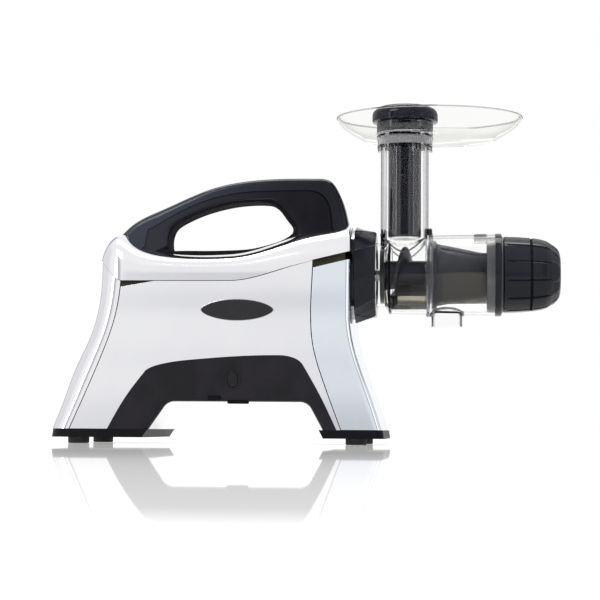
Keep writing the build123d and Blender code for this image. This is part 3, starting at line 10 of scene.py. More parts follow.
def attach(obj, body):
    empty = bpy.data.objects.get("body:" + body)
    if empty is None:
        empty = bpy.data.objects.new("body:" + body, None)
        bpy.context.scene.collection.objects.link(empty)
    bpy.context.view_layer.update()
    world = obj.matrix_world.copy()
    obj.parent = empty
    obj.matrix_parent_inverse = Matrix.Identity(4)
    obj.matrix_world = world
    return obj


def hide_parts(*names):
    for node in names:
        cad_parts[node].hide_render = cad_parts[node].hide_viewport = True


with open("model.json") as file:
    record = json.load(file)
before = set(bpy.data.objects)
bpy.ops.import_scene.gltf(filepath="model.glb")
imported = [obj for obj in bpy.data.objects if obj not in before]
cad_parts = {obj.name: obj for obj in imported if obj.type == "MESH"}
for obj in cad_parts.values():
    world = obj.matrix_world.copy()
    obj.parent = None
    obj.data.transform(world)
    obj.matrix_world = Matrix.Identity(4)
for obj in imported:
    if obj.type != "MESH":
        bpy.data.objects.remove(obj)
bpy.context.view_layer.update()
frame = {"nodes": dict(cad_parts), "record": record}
CAD = frame["nodes"]

# -------- studio
# A pale table before a white backdrop, glossy only in front of the machine. In reflections the
# room is greyer low behind the camera and at both sides, which gives the plated shells their
# bands; softboxes light it.
WHITE, MIRROR_WHITE = (1, 1, 1, 1), (0.98, 0.98, 0.98, 1)
ROOM_GREY, BEHIND_CLEAR = (0.36, 0.37, 0.42, 1), (0.02, 0.02, 0.025, 1)
FLOOR_HALF, FLOOR_GREY = 7.0, (0.35, 0.35, 0.35, 1)


def plug(socket, value):
    """Link a socket to the one given, or set it to a value."""
    if isinstance(value, bpy.types.NodeSocket):
        socket.id_data.links.new(value, socket)
    else:
        socket.default_value = value


def feed(node, *values, **named):
    """Plug a node's first inputs in order and others by name, with _ for a space."""
    for socket, value in zip(node.inputs, values):
        plug(socket, value)
    for name, value in named.items():
        plug(node.inputs[name.replace("_", " ")], value)
    return node


def add(tree, kind, *values, **named):
    """New shader node of a kind, with its inputs fed."""
    return feed(tree.nodes.new("ShaderNode" + kind), *values, **named)


def calc(operation, first, second=0.0, third=0.0, clamp=False):
    """One Math node, in the tree of its first socket."""
    node = add(first.id_data, "Math")
    node.operation, node.use_clamp = operation, clamp
    return feed(node, first, second, third).outputs[0]


def times(first, second):
    """Product of a socket and a number or another socket."""
    return calc("MULTIPLY", first, second)


def ramp(value, low, high, start=0.0, end=1.0):
    """Smooth step of a value from low..high to start..end."""
    node = add(value.id_data, "MapRange")
    node.interpolation_type = "SMOOTHSTEP"
    return feed(node, value, low, high, start, end).outputs["Result"]


def zone(value, rise, full, ease, fall):
    """Smooth band of a value: up from rise to full, and down again from ease to fall."""
    return times(ramp(value, rise, full), ramp(value, ease, fall, 1.0, 0.0))


def mixed_colour(factor, first, second):
    """Colour between two, each a colour or a socket."""
    node = add(factor.id_data, "Mix")
    node.data_type = "RGBA"
    for number, value in ((0, factor), (6, first), (7, second)):
        plug(node.inputs[number], value)
    return node.outputs[2]


def blank(name):
    """New material, with its node tree and its Principled shader."""
    material = bpy.data.materials.new(name)
    material.use_nodes = True
    return material, material.node_tree, material.node_tree.nodes["Principled BSDF"]


def spot(tree, kind="Object"):
    """Texture coordinate of a kind."""
    return add(tree, "TexCoord").outputs[kind]


def axes(tree, kind="Object"):
    """X, Y and Z of a texture coordinate."""
    return add(tree, "SeparateXYZ", spot(tree, kind)).outputs


def rays(tree):
    """Light path, and whether a ray shows the surface: seen, mirrored or through clear parts."""
    path = add(tree, "LightPath").outputs
    bounced = calc("ADD", path["Is Glossy Ray"], path["Is Transmission Ray"])
    return path, calc("ADD", path["Is Camera Ray"], bounced, clamp=True)


def into_scene(name, data):
    """New object in the scene."""
    thing = bpy.data.objects.new(name, data)
    bpy.context.scene.collection.objects.link(thing)
    return thing


world = bpy.data.worlds.new("studio")
world.use_nodes = True
bpy.context.scene.world = world
tree = world.node_tree
# Heights are sines, and aside is the angle in radians from straight behind the camera's back.
across, backward, height = axes(tree, "Generated")
aside = calc("ABSOLUTE", calc("ARCTAN2", across, times(backward, -1.0)))
panel_grey = times(ramp(height, 0.075, 0.118, 2.2, 0.35), ramp(across, -0.24, -0.08, 0.45, 1.0))
front_zone = times(ramp(aside, 0.3, 0.5, 1.0, 0.0), panel_grey)
flag = zone(aside, 0.42, 0.62, 0.8, 1.0)
side_wall = zone(aside, 1.25, 1.6, 2.35, 2.8)
rear_flag = zone(aside, 2.42, 2.6, 2.8, 2.87)
both_sides = calc("ADD", times(flag, 0.75), calc("MAXIMUM", times(side_wall, 0.25), rear_flag))
shade = times(ramp(height, 0.35, 0.75, 1.0, 0.0), calc("ADD", times(front_zone, 0.27), both_sides, clamp=True))
path, seen = rays(tree)
room = mixed_colour(times(path["Is Glossy Ray"], shade), WHITE, ROOM_GREY)
through = times(path["Is Transmission Ray"], ramp(aside, 0.2, 0.42, 1.0, 0.0))
feed(tree.nodes["Background"], mixed_colour(through, room, BEHIND_CLEAR), ramp(seen, 0.0, 1.0, 0.5, 1.0))

floor_mesh = bpy.data.meshes.new("floor")
floor_corners = [(x * FLOOR_HALF, y * FLOOR_HALF, 0) for x, y in ((-1, -1), (1, -1), (1, 1), (-1, 1))]
floor_mesh.from_pydata(floor_corners, [], [(0, 1, 2, 3)])
floor = into_scene("floor", floor_mesh)
material, tree, shader = blank("table_top")
length = add(tree, "VectorMath")
length.operation = "LENGTH"
glow = ramp(feed(length, spot(tree)).outputs["Value"], 0.5, 2.0, 0.76, 1.1)
feed(shader, Base_Color=FLOOR_GREY, Roughness=0.7, Specular_IOR_Level=0.0, Emission_Color=WHITE,
     Emission_Strength=times(rays(tree)[1], glow))
mirror = add(tree, "BsdfGlossy", Color=MIRROR_WHITE, Roughness=0.02)
backward = axes(tree)["Y"]
near_machine = calc("ADD", ramp(backward, -1.385, -1.25, 0.0, 0.6), ramp(backward, -1.0, -0.5, 0.0, 0.14))
in_front = times(near_machine, ramp(backward, -0.1, 0.15, 1.0, 0.0))
gloss = times(in_front, add(tree, "LayerWeight", Blend=0.3).outputs["Fresnel"])
mixer = add(tree, "MixShader", gloss, shader.outputs[0], mirror.outputs[0])
feed(tree.nodes["Material Output"], Surface=mixer.outputs[0])
floor_mesh.materials.append(material)


def softbox(name, place, aim, width, height, watts):
    """Rectangular lamp at a place, turned to face another point."""
    lamp = bpy.data.lights.new(name, "AREA")
    lamp.shape, lamp.size, lamp.size_y, lamp.energy = "RECTANGLE", width, height, watts
    holder = into_scene(name, lamp)
    holder.location = place
    holder.rotation_euler = (Vector(aim) - Vector(place)).to_track_quat("-Z", "Y").to_euler()
    return holder


softbox("key_softbox", (-0.9, -1.2, 1.35), (0, 0, 0.15), 0.8, 0.8, 15.0)
softbox("fill_softbox", (1.3, -0.9, 0.9), (0.05, 0, 0.15), 0.5, 0.8, 9.0).visible_glossy = False
softbox("left_strip", (-1.15, -0.95, 0.3), (0, 0, 0.2), 0.22, 0.8, 1.6)
softbox("right_strip", (1.35, -0.75, 0.3), (0.05, 0, 0.2), 0.18, 0.8, 0.6)
softbox("top_strip", (0.0, 0.35, 1.3), (0.0, 0, 0.1), 1.2, 0.5, 9.0)

CAMERA_PLACE, CAMERA_ROLL = (0.1308, -1.566, 0.0135), math.radians(0.39)
CAMERA_AIM = Vector((-0.0888, 0.9935, 0.0712)).normalized()
camera_data = bpy.data.cameras.new("camera")
camera_data.sensor_width, camera_data.lens = 36.0, 108.0
camera = into_scene("camera", camera_data)
bpy.context.scene.camera = camera
level = Vector((CAMERA_AIM.y, -CAMERA_AIM.x, 0)).normalized()
camera.matrix_world = (Matrix.Translation(CAMERA_PLACE)
                       @ Matrix((level, level.cross(CAMERA_AIM), -CAMERA_AIM)).transposed().to_4x4()
                       @ Matrix.Rotation(CAMERA_ROLL, 4, "Z"))
bpy.context.scene.view_settings.view_transform = "Standard"

# -------- finishes of the inner parts
# Castings, copper, laminations, steel, boards and plain mouldings. Each shows slight mottling
# of colour and gloss and a fine grain, from one group shared by every finish of the machine.


def wear_group():
    """Mottled colour, roughness and grain: noise at one scale mixes two colours and two gloss
    levels, and a finer noise gives the height of the grain."""
    group = bpy.data.node_groups.new("mottled_surface", "ShaderNodeTree")
    for way, kind, names in (("INPUT", "Color", ("Colour", "Shade")), ("INPUT", "Float", ("Scale", "Smooth", "Dull")),
                             ("OUTPUT", "Color", ("Colour",)), ("OUTPUT", "Float", ("Roughness", "Grain"))):
        for name in names:
            group.interface.new_socket(name=name, in_out=way, socket_type="NodeSocket" + kind)
    given = group.nodes.new("NodeGroupInput").outputs
    place = spot(group)
    broad = add(group, "TexNoise", Vector=place, Scale=given["Scale"]).outputs["Fac"]
    fine = add(group, "TexNoise", Vector=place, Scale=times(given["Scale"], 14.0)).outputs["Fac"]
    tone = mixed_colour(ramp(broad, 0.35, 0.65), given["Colour"], given["Shade"])
    rough = calc("MULTIPLY_ADD", calc("SUBTRACT", given["Dull"], given["Smooth"]), fine, given["Smooth"])
    feed(group.nodes.new("NodeGroupOutput"), tone, rough, fine)
    return group


MOTTLED = wear_group()


def coloured(name, colour, shade, smooth, dull, scale, grain, metal=0.0, sheen=0.5):
    """Finish from the shared group: two colours, two roughness levels and the grain's depth in mm."""
    material, tree, shader = blank(name)
    mottled = add(tree, "Group")
    mottled.node_tree = MOTTLED
    tone, rough, height = feed(mottled, (*colour, 1), (*shade, 1), scale, smooth, dull).outputs
    bump = add(tree, "Bump", Distance=max(grain, 0.0005) / 1000, Height=height)
    feed(shader, Base_Color=tone, Roughness=rough, Normal=bump.outputs[0], Metallic=metal, Specular_IOR_Level=sheen)
    return material


# Slot, name, two colours, two roughness levels, scale, grain, metal and sheen.
FINISH = {slot: coloured(*values) for slot, *values in (
    ("core", "stacked_laminations", (0.16, 0.16, 0.17), (0.22, 0.21, 0.2), 0.4, 0.6, 90.0, 0.05, 0.8),
    ("copper", "enamelled_copper", (0.45, 0.16, 0.05), (0.36, 0.11, 0.03), 0.25, 0.45, 200.0, 0.2, 0.7),
    ("alu", "cast_aluminium", (0.62, 0.63, 0.64), (0.52, 0.53, 0.55), 0.35, 0.55, 120.0, 0.1, 0.9),
    ("steel", "turned_steel", (0.55, 0.55, 0.56), (0.45, 0.45, 0.47), 0.18, 0.32, 90.0, 0.02, 1.0),
    ("mesh", "screen_steel", (0.5, 0.47, 0.42), (0.3, 0.28, 0.25), 0.25, 0.4, 400.0, 0.1, 1.0),
    ("inner", "inner_moulding", (0.05, 0.05, 0.055), (0.07, 0.07, 0.075), 0.4, 0.6, 80.0, 0.05),
    ("board", "circuit_board", (0.02, 0.14, 0.06), (0.03, 0.1, 0.05), 0.3, 0.5, 150.0, 0.05),
    ("rubber", "foot_rubber", (0.015, 0.015, 0.016), (0.03, 0.03, 0.03), 0.55, 0.75, 90.0, 0.08),
    ("grey", "silicone_seal", (0.09, 0.09, 0.1), (0.07, 0.07, 0.08), 0.3, 0.45, 90.0, 0.03),
    ("black", "satin_black", (0.012, 0.011, 0.014), (0.018, 0.016, 0.02), 0.26, 0.36, 50.0, 0.02, 0, 0.15),
    ("strip", "shoe_black", (0.007, 0.007, 0.009), (0.01, 0.01, 0.012), 0.34, 0.46, 60.0, 0.02, 0, 0.06),
    ("chrome", "bright_plating", (0.86, 0.86, 0.88), (0.84, 0.84, 0.865), 0.07, 0.12, 18.0, 0.0, 1.0),
    ("navy", "glossy_dark", (0.008, 0.009, 0.014), (0.011, 0.012, 0.018), 0.08, 0.16, 40.0, 0.0, 0, 0.2),
    ("auger", "auger_black", (0.017, 0.0185, 0.025), (0.022, 0.024, 0.032), 0.18, 0.3, 60.0, 0.02, 0, 0.25),
    ("badge", "badge_enamel", (0.012, 0.012, 0.014), (0.016, 0.016, 0.018), 0.12, 0.2, 60.0, 0.0, 0, 0.4))}


def clear_plastic(name, face_tint, painted_edge_shade, rough, index, clear=1.0):
    """Clear moulding with faint flow ripples: its own tint face on, and darker where it is seen edge on, a painted
    shade for the dark edge lines of clear walls.
    """
    material, tree, shader = blank(name)
    facing = add(tree, "LayerWeight", Blend=0.35).outputs["Facing"]
    ripple = add(tree, "TexNoise", Vector=spot(tree), Scale=25.0).outputs["Fac"]
    bump = add(tree, "Bump", Distance=0.00001, Height=ripple)
    # Painted shade: the colour darkens where the wall is seen edge on.
    feed(shader, Base_Color=mixed_colour(ramp(facing, 0.35, 0.95), (*face_tint, 1), (*painted_edge_shade, 1)),
         Roughness=ramp(ripple, 0.3, 0.7, rough, rough + 0.03), Normal=bump.outputs[0],
         Transmission_Weight=clear, IOR=index, Specular_IOR_Level=0.3)
    return material


FINISH["clear"] = clear_plastic("clear_moulding", (0.988, 0.988, 0.985), (0.16, 0.16, 0.155), 0.01, 1.2)
FINISH["smoke"] = clear_plastic("smoked_moulding", (0.2, 0.21, 0.235), (0.05, 0.05, 0.06), 0.1, 1.15, 0.84)

for row in frame["record"]["subparts"]:
    node = CAD[row["node"]]
    node.data.materials.clear()
    node.data.materials.append(FINISH[row["material_slot"]])

# -------- side panels
# Two thin plated sides, pressed to follow the body's flare. Their edges turn in at the rear
# and front covers, at the brow above and along the arch below, and hook onto the inner frame.
FACE_X, DEPTH, AXIS_Z = 38.4, 255.0, 147.5
SEAM_GAP, SHOE_TOP = 0.35, 12.2
PANEL_WALL, PANEL_EDGE = 2.2, 0.5
BODY_Z = (12.2, 40.0, 64.0, 86.0, 106.0, 132.0, 172.0)
BODY_HALF = (71.0, 69.9, 68.8, 67.9, 67.0, 66.5, 65.0)
BODY_MIDDLE = (-60.0, 0.0, 60.0)
SIDES = ((-1, "near"), (1, "far"))


def even(count):
    """Even steps from 0 to 1."""
    return np.linspace(0, 1, count)


def joined(*parts, axis=0):
    """Arrays one after another."""
    return np.concatenate(parts, axis)


def places(*parts):
    """Points from their coordinates, each an array or a number, brought to one shape."""
    return np.stack(np.broadcast_arrays(*parts), -1)


def share(part):
    """Place along the body, from a share of its depth behind the face."""
    return FACE_X - DEPTH * np.asarray(part, float)


def outline(points):
    """Side-view points from (share of depth, height)."""
    points = np.array(points, float)
    return places(share(points[:, 0]), points[:, 1])


def run_length(line):
    """Distance from a line's first point to each of its points."""
    return joined([0], np.cumsum(np.linalg.norm(np.diff(line, axis=0), axis=1)))


def natural(knots, values, at, start=None, finish=None):
    """Cubics through values at knots that share slope and bend where they meet; the ends are
    straight, or have the slopes given."""
    knots, at = np.asarray(knots, float), np.asarray(at, float)
    values = np.asarray(values, float).reshape(len(knots), -1)
    step = np.diff(knots)[:, None]
    slope = np.diff(values, axis=0) / step
    inner = np.arange(1, len(knots) - 1)
    matrix = np.zeros((len(knots), len(knots)))
    matrix[inner, inner - 1], matrix[inner, inner + 1] = step[:-1, 0], step[1:, 0]
    matrix[inner, inner] = 2 * (step[:-1, 0] + step[1:, 0])
    matrix[0, 0] = matrix[-1, -1] = 1.0
    right = np.zeros_like(values)
    right[1:-1] = 6 * np.diff(slope, axis=0)
    if start is not None:
        matrix[0, :2] = 2 * step[0, 0], step[0, 0]
        right[0] = 6 * (slope[0] - np.asarray(start))
    if finish is not None:
        matrix[-1, -2:] = step[-1, 0], 2 * step[-1, 0]
        right[-1] = 6 * (np.asarray(finish) - slope[-1])
    bend = np.linalg.solve(matrix, right)
    flat = at.ravel()
    span = np.clip(np.searchsorted(knots, flat, side="right") - 1, 0, len(knots) - 2)
    width = step[span]
    before, after = (knots[span + 1] - flat)[:, None], (flat - knots[span])[:, None]
    result = ((bend[span] * before**3 + bend[span + 1] * after**3) / (6 * width)
              + (values[span] / width - bend[span] * width / 6) * before
              + (values[span + 1] / width - bend[span + 1] * width / 6) * after)
    return result[:, 0].reshape(at.shape) if values.shape[1] == 1 else result.reshape(*at.shape, -1)


def bow(points, count, start=None, finish=None):
    """Smooth line through side-view points, at even steps of the distance between them."""
    points = outline(points)
    along = run_length(points)
    return natural(along, points, np.linspace(0, along[-1], count), start, finish)


def rear_seam(z):
    """Place of the rear cover's edge at a height."""
    return share(natural((0, 31, 72, 104, 132, 157.5), (0.945, 0.892, 0.825, 0.782, 0.763, 0.758), z))


def front_seam(z):
    """Place of the front cover's edge at a height."""
    return share(natural((0, 12, 55, 82, 108, 147.6, 190), (0.007, 0.025, 0.088, 0.119, 0.128, 0.123, 0.118), z))


def top_seam(x):
    """Height of the brow's lower edge: level along the middle, rising to both ends."""
    rear = natural((-198.8, -171.2, -154.9), (168.0, 151.5, 137.5), x, -0.2, 0.0)
    front = natural((-63.6, -12.6, 38.4, 53.7), (137.5, 149.3, 162.2, 166.0), x, 0.0, 0.25)
    return np.where(x < -154.9, rear, np.where(x > -63.6, front, 137.5))


def half_width(z):
    """Half of the body's width at a height."""
    return natural(BODY_Z, BODY_HALF, z)


def band_edge():
    """Upper edge of the arch frame, from the back leg's shoe over to the front leg's."""
    back = [(0.797, SHOE_TOP), (0.735, 40), (0.672, 61.5)]
    top = [(0.672, 61.5), (0.625, 66.5), (0.50, 71), (0.35, 73.8), (0.235, 74.5)]
    front = [(0.190, 73), (0.151, 66), (0.095, 41), (0.040, SHOE_TOP)]
    return joined(bow(back, 16), bow(top, 44, (0.8, 0.6), (1, 0))[1:],
                  bow([top[-1]] + front[:2], 16, (1, 0), (0.447, -0.894))[1:], bow(front[1:], 18)[1:])


def read(things, attribute, width, kind=float):
    """One value of each of a mesh's points, corners or faces, as rows of an array."""
    values = np.empty(len(things) * width, kind)
    things.foreach_get(attribute, values)
    return values.reshape(-1, width)


def surface(name, slot, grids, nodes=(), middle=None, wall=0.0, edge=0.0, finish=None, body="housing",
            crease=35.0, paint=None):
    """Piece made of grids of points in millimetres, one quad between each four neighbours.

    A grid is points, or (points, rows close, columns close). Faces point away from the middle
    point, or outwards where the piece is closed; wall and edge give its thickness and its
    rounded rims; paint gives the finish of each quad, where there is more than one."""
    mesh = bpy.data.meshes.new(name)
    corners, quads, first = [], [], 0
    for grid in grids:
        points, around, across = grid if isinstance(grid, tuple) else (grid, False, False)
        rows, columns = points.shape[:2]
        i, j = np.meshgrid(np.arange(rows - (not around)), np.arange(columns - (not across)), indexing="ij")
        below, beside = (i + 1) % rows, (j + 1) % columns
        quads.append(first + places(i * columns + j, below * columns + j, below * columns + beside,
                                    i * columns + beside).reshape(-1, 4))
        corners.append(points.reshape(-1, 3) / 1000)
        first += rows * columns
    mesh.from_pydata(joined(*corners), [], joined(*quads))
    for material in finish if isinstance(finish, list) else [finish or FINISH[slot]]:
        mesh.materials.append(material)
    if paint is not None:
        mesh.polygons.foreach_set("material_index", np.asarray(paint, np.int32).ravel())
    work = bmesh.new()
    work.from_mesh(mesh)
    bmesh.ops.remove_doubles(work, verts=work.verts, dist=2e-6)
    bmesh.ops.dissolve_degenerate(work, edges=work.edges, dist=1e-6)
    if middle is None:
        bmesh.ops.recalc_face_normals(work, faces=work.faces)
    work.to_mesh(mesh)
    work.free()
    if middle is not None:
        outward = (read(mesh.polygons, "center", 3) - np.array(middle) / 1000) * read(mesh.polygons, "normal", 3)
        if outward.sum() < 0:
            mesh.flip_normals()
    mesh.shade_smooth()
    mesh.set_sharp_from_angle(angle=math.radians(crease))
    piece = into_scene(name, mesh)
    if wall:
        solid = piece.modifiers.new("wall", "SOLIDIFY")
        solid.thickness, solid.offset = wall / 1000, -1.0
    if edge:
        bevel = piece.modifiers.new("edge", "BEVEL")
        bevel.width, bevel.segments, bevel.limit_method = edge / 1000, 3, "ANGLE"
        bevel.angle_limit, bevel.harden_normals = math.radians(50), True
    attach(piece, body)
    if nodes:
        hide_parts(*nodes)
    return piece


def side_sheet(side):
    """Patch between four seams: the lines from the lower edge to the upper one, bent to the
    rear and front seams at their ends; y follows the body's half width."""
    band = band_edge()
    lower = joined(np.linspace((rear_seam(SHOE_TOP) + SEAM_GAP, SHOE_TOP), band[0], 10)[:-1], band,
                   np.linspace(band[-1], (front_seam(SHOE_TOP) - SEAM_GAP, SHOE_TOP), 5)[1:])
    count = len(lower)
    part, rise = even(count), even(40)[:, None]
    rear_top, front_top = rear_seam(137.0) + SEAM_GAP, front_seam(154.0) - SEAM_GAP
    upper_x = np.interp(part, (0, 9 / count, 1 - 5 / count, 1), (rear_top, rear_top + 12, front_top - 7, front_top))
    wedge = 5.0 * np.clip(1 - (upper_x - rear_top) / 28.0, 0, 1)
    upper = places(upper_x, top_seam(upper_x) - SEAM_GAP - wedge)

    def stray(end, seam, gap):
        """How far a seam lies from the straight line between the patch's corners."""
        line = lower[end] + (upper[end] - lower[end]) * rise
        return seam(line[:, 1:]) + gap - line[:, :1]

    ruled = lower * (1 - rise[..., None]) + upper * rise[..., None]
    x = (ruled[..., 0] + stray(0, rear_seam, SEAM_GAP) * (1 - part) ** 3
         + stray(-1, front_seam, -SEAM_GAP) * part**3)
    return places(x, side * half_width(ruled[..., 1]), ruled[..., 1])


for side, word in SIDES:
    surface("side_cover_" + word, "chrome", [side_sheet(side)], ["side_panel_" + word], BODY_MIDDLE,
            PANEL_WALL, PANEL_EDGE)

# -------- rear cover
# One plated moulding wraps the whole back of the body, from seam to seam round two wide corners.
# Its top edge rises towards the back to meet the top shell.
REAR_CORNER = 24.0
BODY_BACK = (0.992, 0.952, 0.920, 0.879, 0.853, 0.838, 0.838)


def plan_steps(side, corner, across):
    """Steps of a plan line from 0 to 1: along the side, round the corner as an angle, and across."""
    def step(before, count, after):
        """Zeros, an even climb from 0 to 1, and ones."""
        return joined(np.zeros(before), even(count + 1)[1:], np.ones(after))

    return (step(1, side - 1, corner + across), step(side, corner, across) * math.pi / 2,
            step(side + corner, across, 0))


def carried_up(plan, count, guess, gap, rows):
    """Plan line carried up the body's slope from the shoe to a gap under the top seam; the
    seam's height at each point is found by trying again from where the last try came out."""
    top = np.full(count, guess)
    for _ in range(8):
        top = top_seam(plan(top)[0]) - gap
    z = SHOE_TOP + (top - SHOE_TOP) * even(rows)[:, None]
    return places(*plan(z), z)


def both_halves(near):
    """Near half and its mirror image, which share the middle line."""
    return joined(near, near[:, -2::-1] * (1, -1, 1), axis=1)


def rear_plan(z):
    """Plan line at given heights: straight along the side, round the corner and across the back."""
    side_part, turn, across = plan_steps(14, 16, 14)
    rear, seam = share(natural(BODY_Z, BODY_BACK, z)), rear_seam(z) - SEAM_GAP
    round_in = np.minimum(REAR_CORNER, seam - rear - 0.5)
    x = seam + (rear + round_in - seam) * side_part - round_in * np.sin(turn)
    return x, -(half_width(z) - round_in * (1 - np.cos(turn))) * (1 - across)


surface("rear_cover", "chrome", [both_halves(carried_up(rear_plan, 44, 140.0, SEAM_GAP, 48))], ["rear_panel"],
        BODY_MIDDLE, PANEL_WALL, PANEL_EDGE)

# -------- front cover
# The plated front leg and face, one moulding with tight corners and a round hole for the
# drum's socket. It stops short of the brow, which leaves a dark recess under it.
FRONT_CORNER, SOCKET_RADIUS, RECESS = 5.0, 25.0, 6.3
BODY_FRONT = (-0.107, -0.071, -0.036, -0.011, 0.0, 0.0, 0.0)


def front_plan(z):
    """Plan line at given heights: along the side, round the corner and across the face to the
    middle, or to the edge of the socket's hole."""
    side_part, turn, across = plan_steps(12, 8, 14)
    front = np.where(z > 104, FACE_X, np.maximum(share(natural(BODY_Z, BODY_FRONT, z)), FACE_X))
    seam = front_seam(z) + SEAM_GAP
    hole = np.sqrt(np.maximum(SOCKET_RADIUS**2 - (z - AXIS_Z) ** 2, 0))
    x = seam + (front - FRONT_CORNER - seam) * side_part + FRONT_CORNER * np.sin(turn)
    edge = half_width(z) - FRONT_CORNER * (1 - np.cos(turn))
    return x, -(edge + (hole - edge) * across)


front_half = carried_up(front_plan, 34, 150.0, RECESS, 70)
# The front cover's plating is a bluer, darker copy of the sides': a painted reflection of the room's blue-grey.
front_plating_painted_reflection = coloured("front_plating_painted_reflection", (0.79, 0.825, 0.88), (0.77, 0.8, 0.85), 0.08, 0.14, 14.0, 0.0, 1.0)
surface("front_cover", "chrome", [front_half, front_half[:, ::-1] * (1, -1, 1)], ["front_panel"], BODY_MIDDLE,
        PANEL_WALL, PANEL_EDGE, front_plating_painted_reflection)

# -------- inner frame
# A dark moulding behind the covers, which they hook onto. It shows as a thin line in every
# seam, as the recess under the brow at the front, and as a dark wedge at the rear. Its dark olive
# colour is partly painted shade: the colour of the shadow in that recess and wedge.
FRAME_INSET, FRAME_WALL = 1.3, 1.0
frame_x = np.linspace(-158.0, FACE_X - 4.0, 60)
frame_z = top_seam(frame_x) + np.linspace(-13.0, 4.0, 8)[:, None]
frame_colour_and_shade = coloured("frame_moulding", (0.04, 0.038, 0.026), (0.03, 0.028, 0.02), 0.5, 0.65, 80.0, 0.03, 0, 0.1)
for side, word in SIDES:
    surface("inner_frame_" + word, "inner", [places(frame_x, side * (half_width(frame_z) - FRAME_INSET), frame_z)],
            (), BODY_MIDDLE, FRAME_WALL, finish=frame_colour_and_shade)

# -------- top shell
# The plated hood over the motor: upright sides under a round back, a dome at the rear and a
# saddle under the handle. It overhangs the sides as a brow and closes the front round the socket.
SHOULDER_Z, BROW_HALF, LIP = 144.0, 68.5, 2.5
DOME_X, DOME_CORNER = -176.6, 25.0
CROWN = ((0, 160.0), (1, 164.0), (2.8, 169.0), (5.2, 173.6), (8, 177.3), (11, 179.8), (14.6, 181.0), (20.6, 179.3),
         (29.6, 172.8), (42.6, 167.0), (56.6, 164.4), (106.6, 163.3), (120.6, 164.7), (134.1, 168.0), (160.1, 177.2),
         (173.1, 181.5), (185.9, 184.5), (200.1, 187.0), (215, 190.0))


def quarter(count):
    """Angles over a quarter turn."""
    return np.linspace(0, math.pi / 2, count)


def round_axis(x, radius, angle):
    """Points at a radius and an angle round the juicing axis."""
    return places(x, -radius * np.cos(angle), AXIS_Z + radius * np.sin(angle))


def shell_sheet():
    """Upright sides to the shoulder, then a squarish arch to the crown, at stations along the
    shell. The dome's plan has round corners; the last rows turn over the front edge and in to
    the socket's hole."""
    turn = quarter(7)[1:]
    x = joined(DOME_X + DOME_CORNER * (1 - np.cos(quarter(26))),
               np.linspace(DOME_X + DOME_CORNER, FACE_X - LIP, 100)[1:], FACE_X - LIP + LIP * np.sin(turn))
    inset = joined(np.zeros(125), LIP * (1 - np.cos(turn)))
    depth = x - DOME_X
    corner = np.clip(1 - depth / DOME_CORNER, 0, 1)
    half = BROW_HALF - DOME_CORNER * (1 - np.sqrt(np.maximum(1 - corner**2, 0))) - inset
    knots, crowns = np.array(CROWN).T
    rise = natural(np.sqrt(knots), crowns, np.sqrt(depth)) - inset - SHOULDER_Z
    power = (3.0 + 0.5 * np.clip(1 - depth / 35.0, 0, 1))[:, None]
    seam = top_seam(x)
    above = np.arcsin(np.clip(((seam - SHOULDER_Z) / rise).clip(0, 1) ** (power[:, 0] / 2), 0, 0.999))
    foot = np.where(seam > SHOULDER_Z, above, (seam - SHOULDER_Z) / rise)[:, None]
    angle = foot + (math.pi - 2 * foot) * even(97)
    upright = (angle < 0) | (angle > math.pi)
    lift = np.where(upright, np.minimum(angle, math.pi - angle), np.abs(np.sin(angle)) ** (2 / power))
    out = np.where(upright, 1.0, np.abs(np.cos(angle)) ** (2 / power))
    y = -np.sign(math.pi / 2 - angle) * out * half[:, None]
    z = SHOULDER_Z + rise[:, None] * lift
    body = places(x[:, None], y, z)
    wall = places(DOME_X, y[0], seam[0] + (z[0] - seam[0]) * even(4)[:-1, None])
    start = math.asin((seam[-1] - AXIS_Z) / SOCKET_RADIUS)
    hole = round_axis(FACE_X, SOCKET_RADIUS, np.linspace(start, math.pi - start, 97))
    return joined(wall, body, body[-1] + (hole - body[-1]) * even(5)[1:, None, None])


surface("top_cover", "chrome", [shell_sheet()], ["top_shell"], (-70, 0, 110), PANEL_WALL, PANEL_EDGE)

# -------- handle strap
# The glossy blue-black outside of the handle, a channel moulding with a rounded back, painted
# lighter towards the rear as a painted sheen. Its two feet are screwed down through the top shell,
# and a fine groove parts it from the grip ring.
HANDLE_HALF, STRAP_ROUND, GROOVE = 19.0, 7.0, 0.7


def knot(line, point):
    """Number of the line's point nearest to a (share of depth, height) place."""
    return int(np.argmin(np.linalg.norm(line - outline([point]), axis=1)))


def sampled(line, known, at):
    """Two-coordinate line read at places between known ones."""
    return places(*(np.interp(at, known, column) for column in line.T))


def paired(first, second, pairs, count, closed=False):
    """Two lines resampled together, so that the two places of each pair, given in one row, stay
    level; closed lines end together."""
    marks = [(knot(first, row[:2]), knot(second, row[2:])) for row in pairs]
    marks += [(len(first) - 1, len(second) - 1)] * closed
    return [sampled(line, np.arange(len(line)), np.interp(even(count), even(len(marks)), numbers))
            for line, numbers in zip((first, second), zip(*marks))]


def painted_rear_sheen(material, tint):
    """Painted sheen: a lighter tone towards the machine's rear, from the object's X, over a finish's own colour."""
    shader = material.node_tree.nodes["Principled BSDF"]
    own = shader.inputs["Base Color"].links[0].from_socket
    rearward = ramp(axes(material.node_tree)["X"], -0.15, 0.01, 1.0, 0.0)
    feed(shader, Base_Color=mixed_colour(rearward, own, (*tint, 1)))
    return material


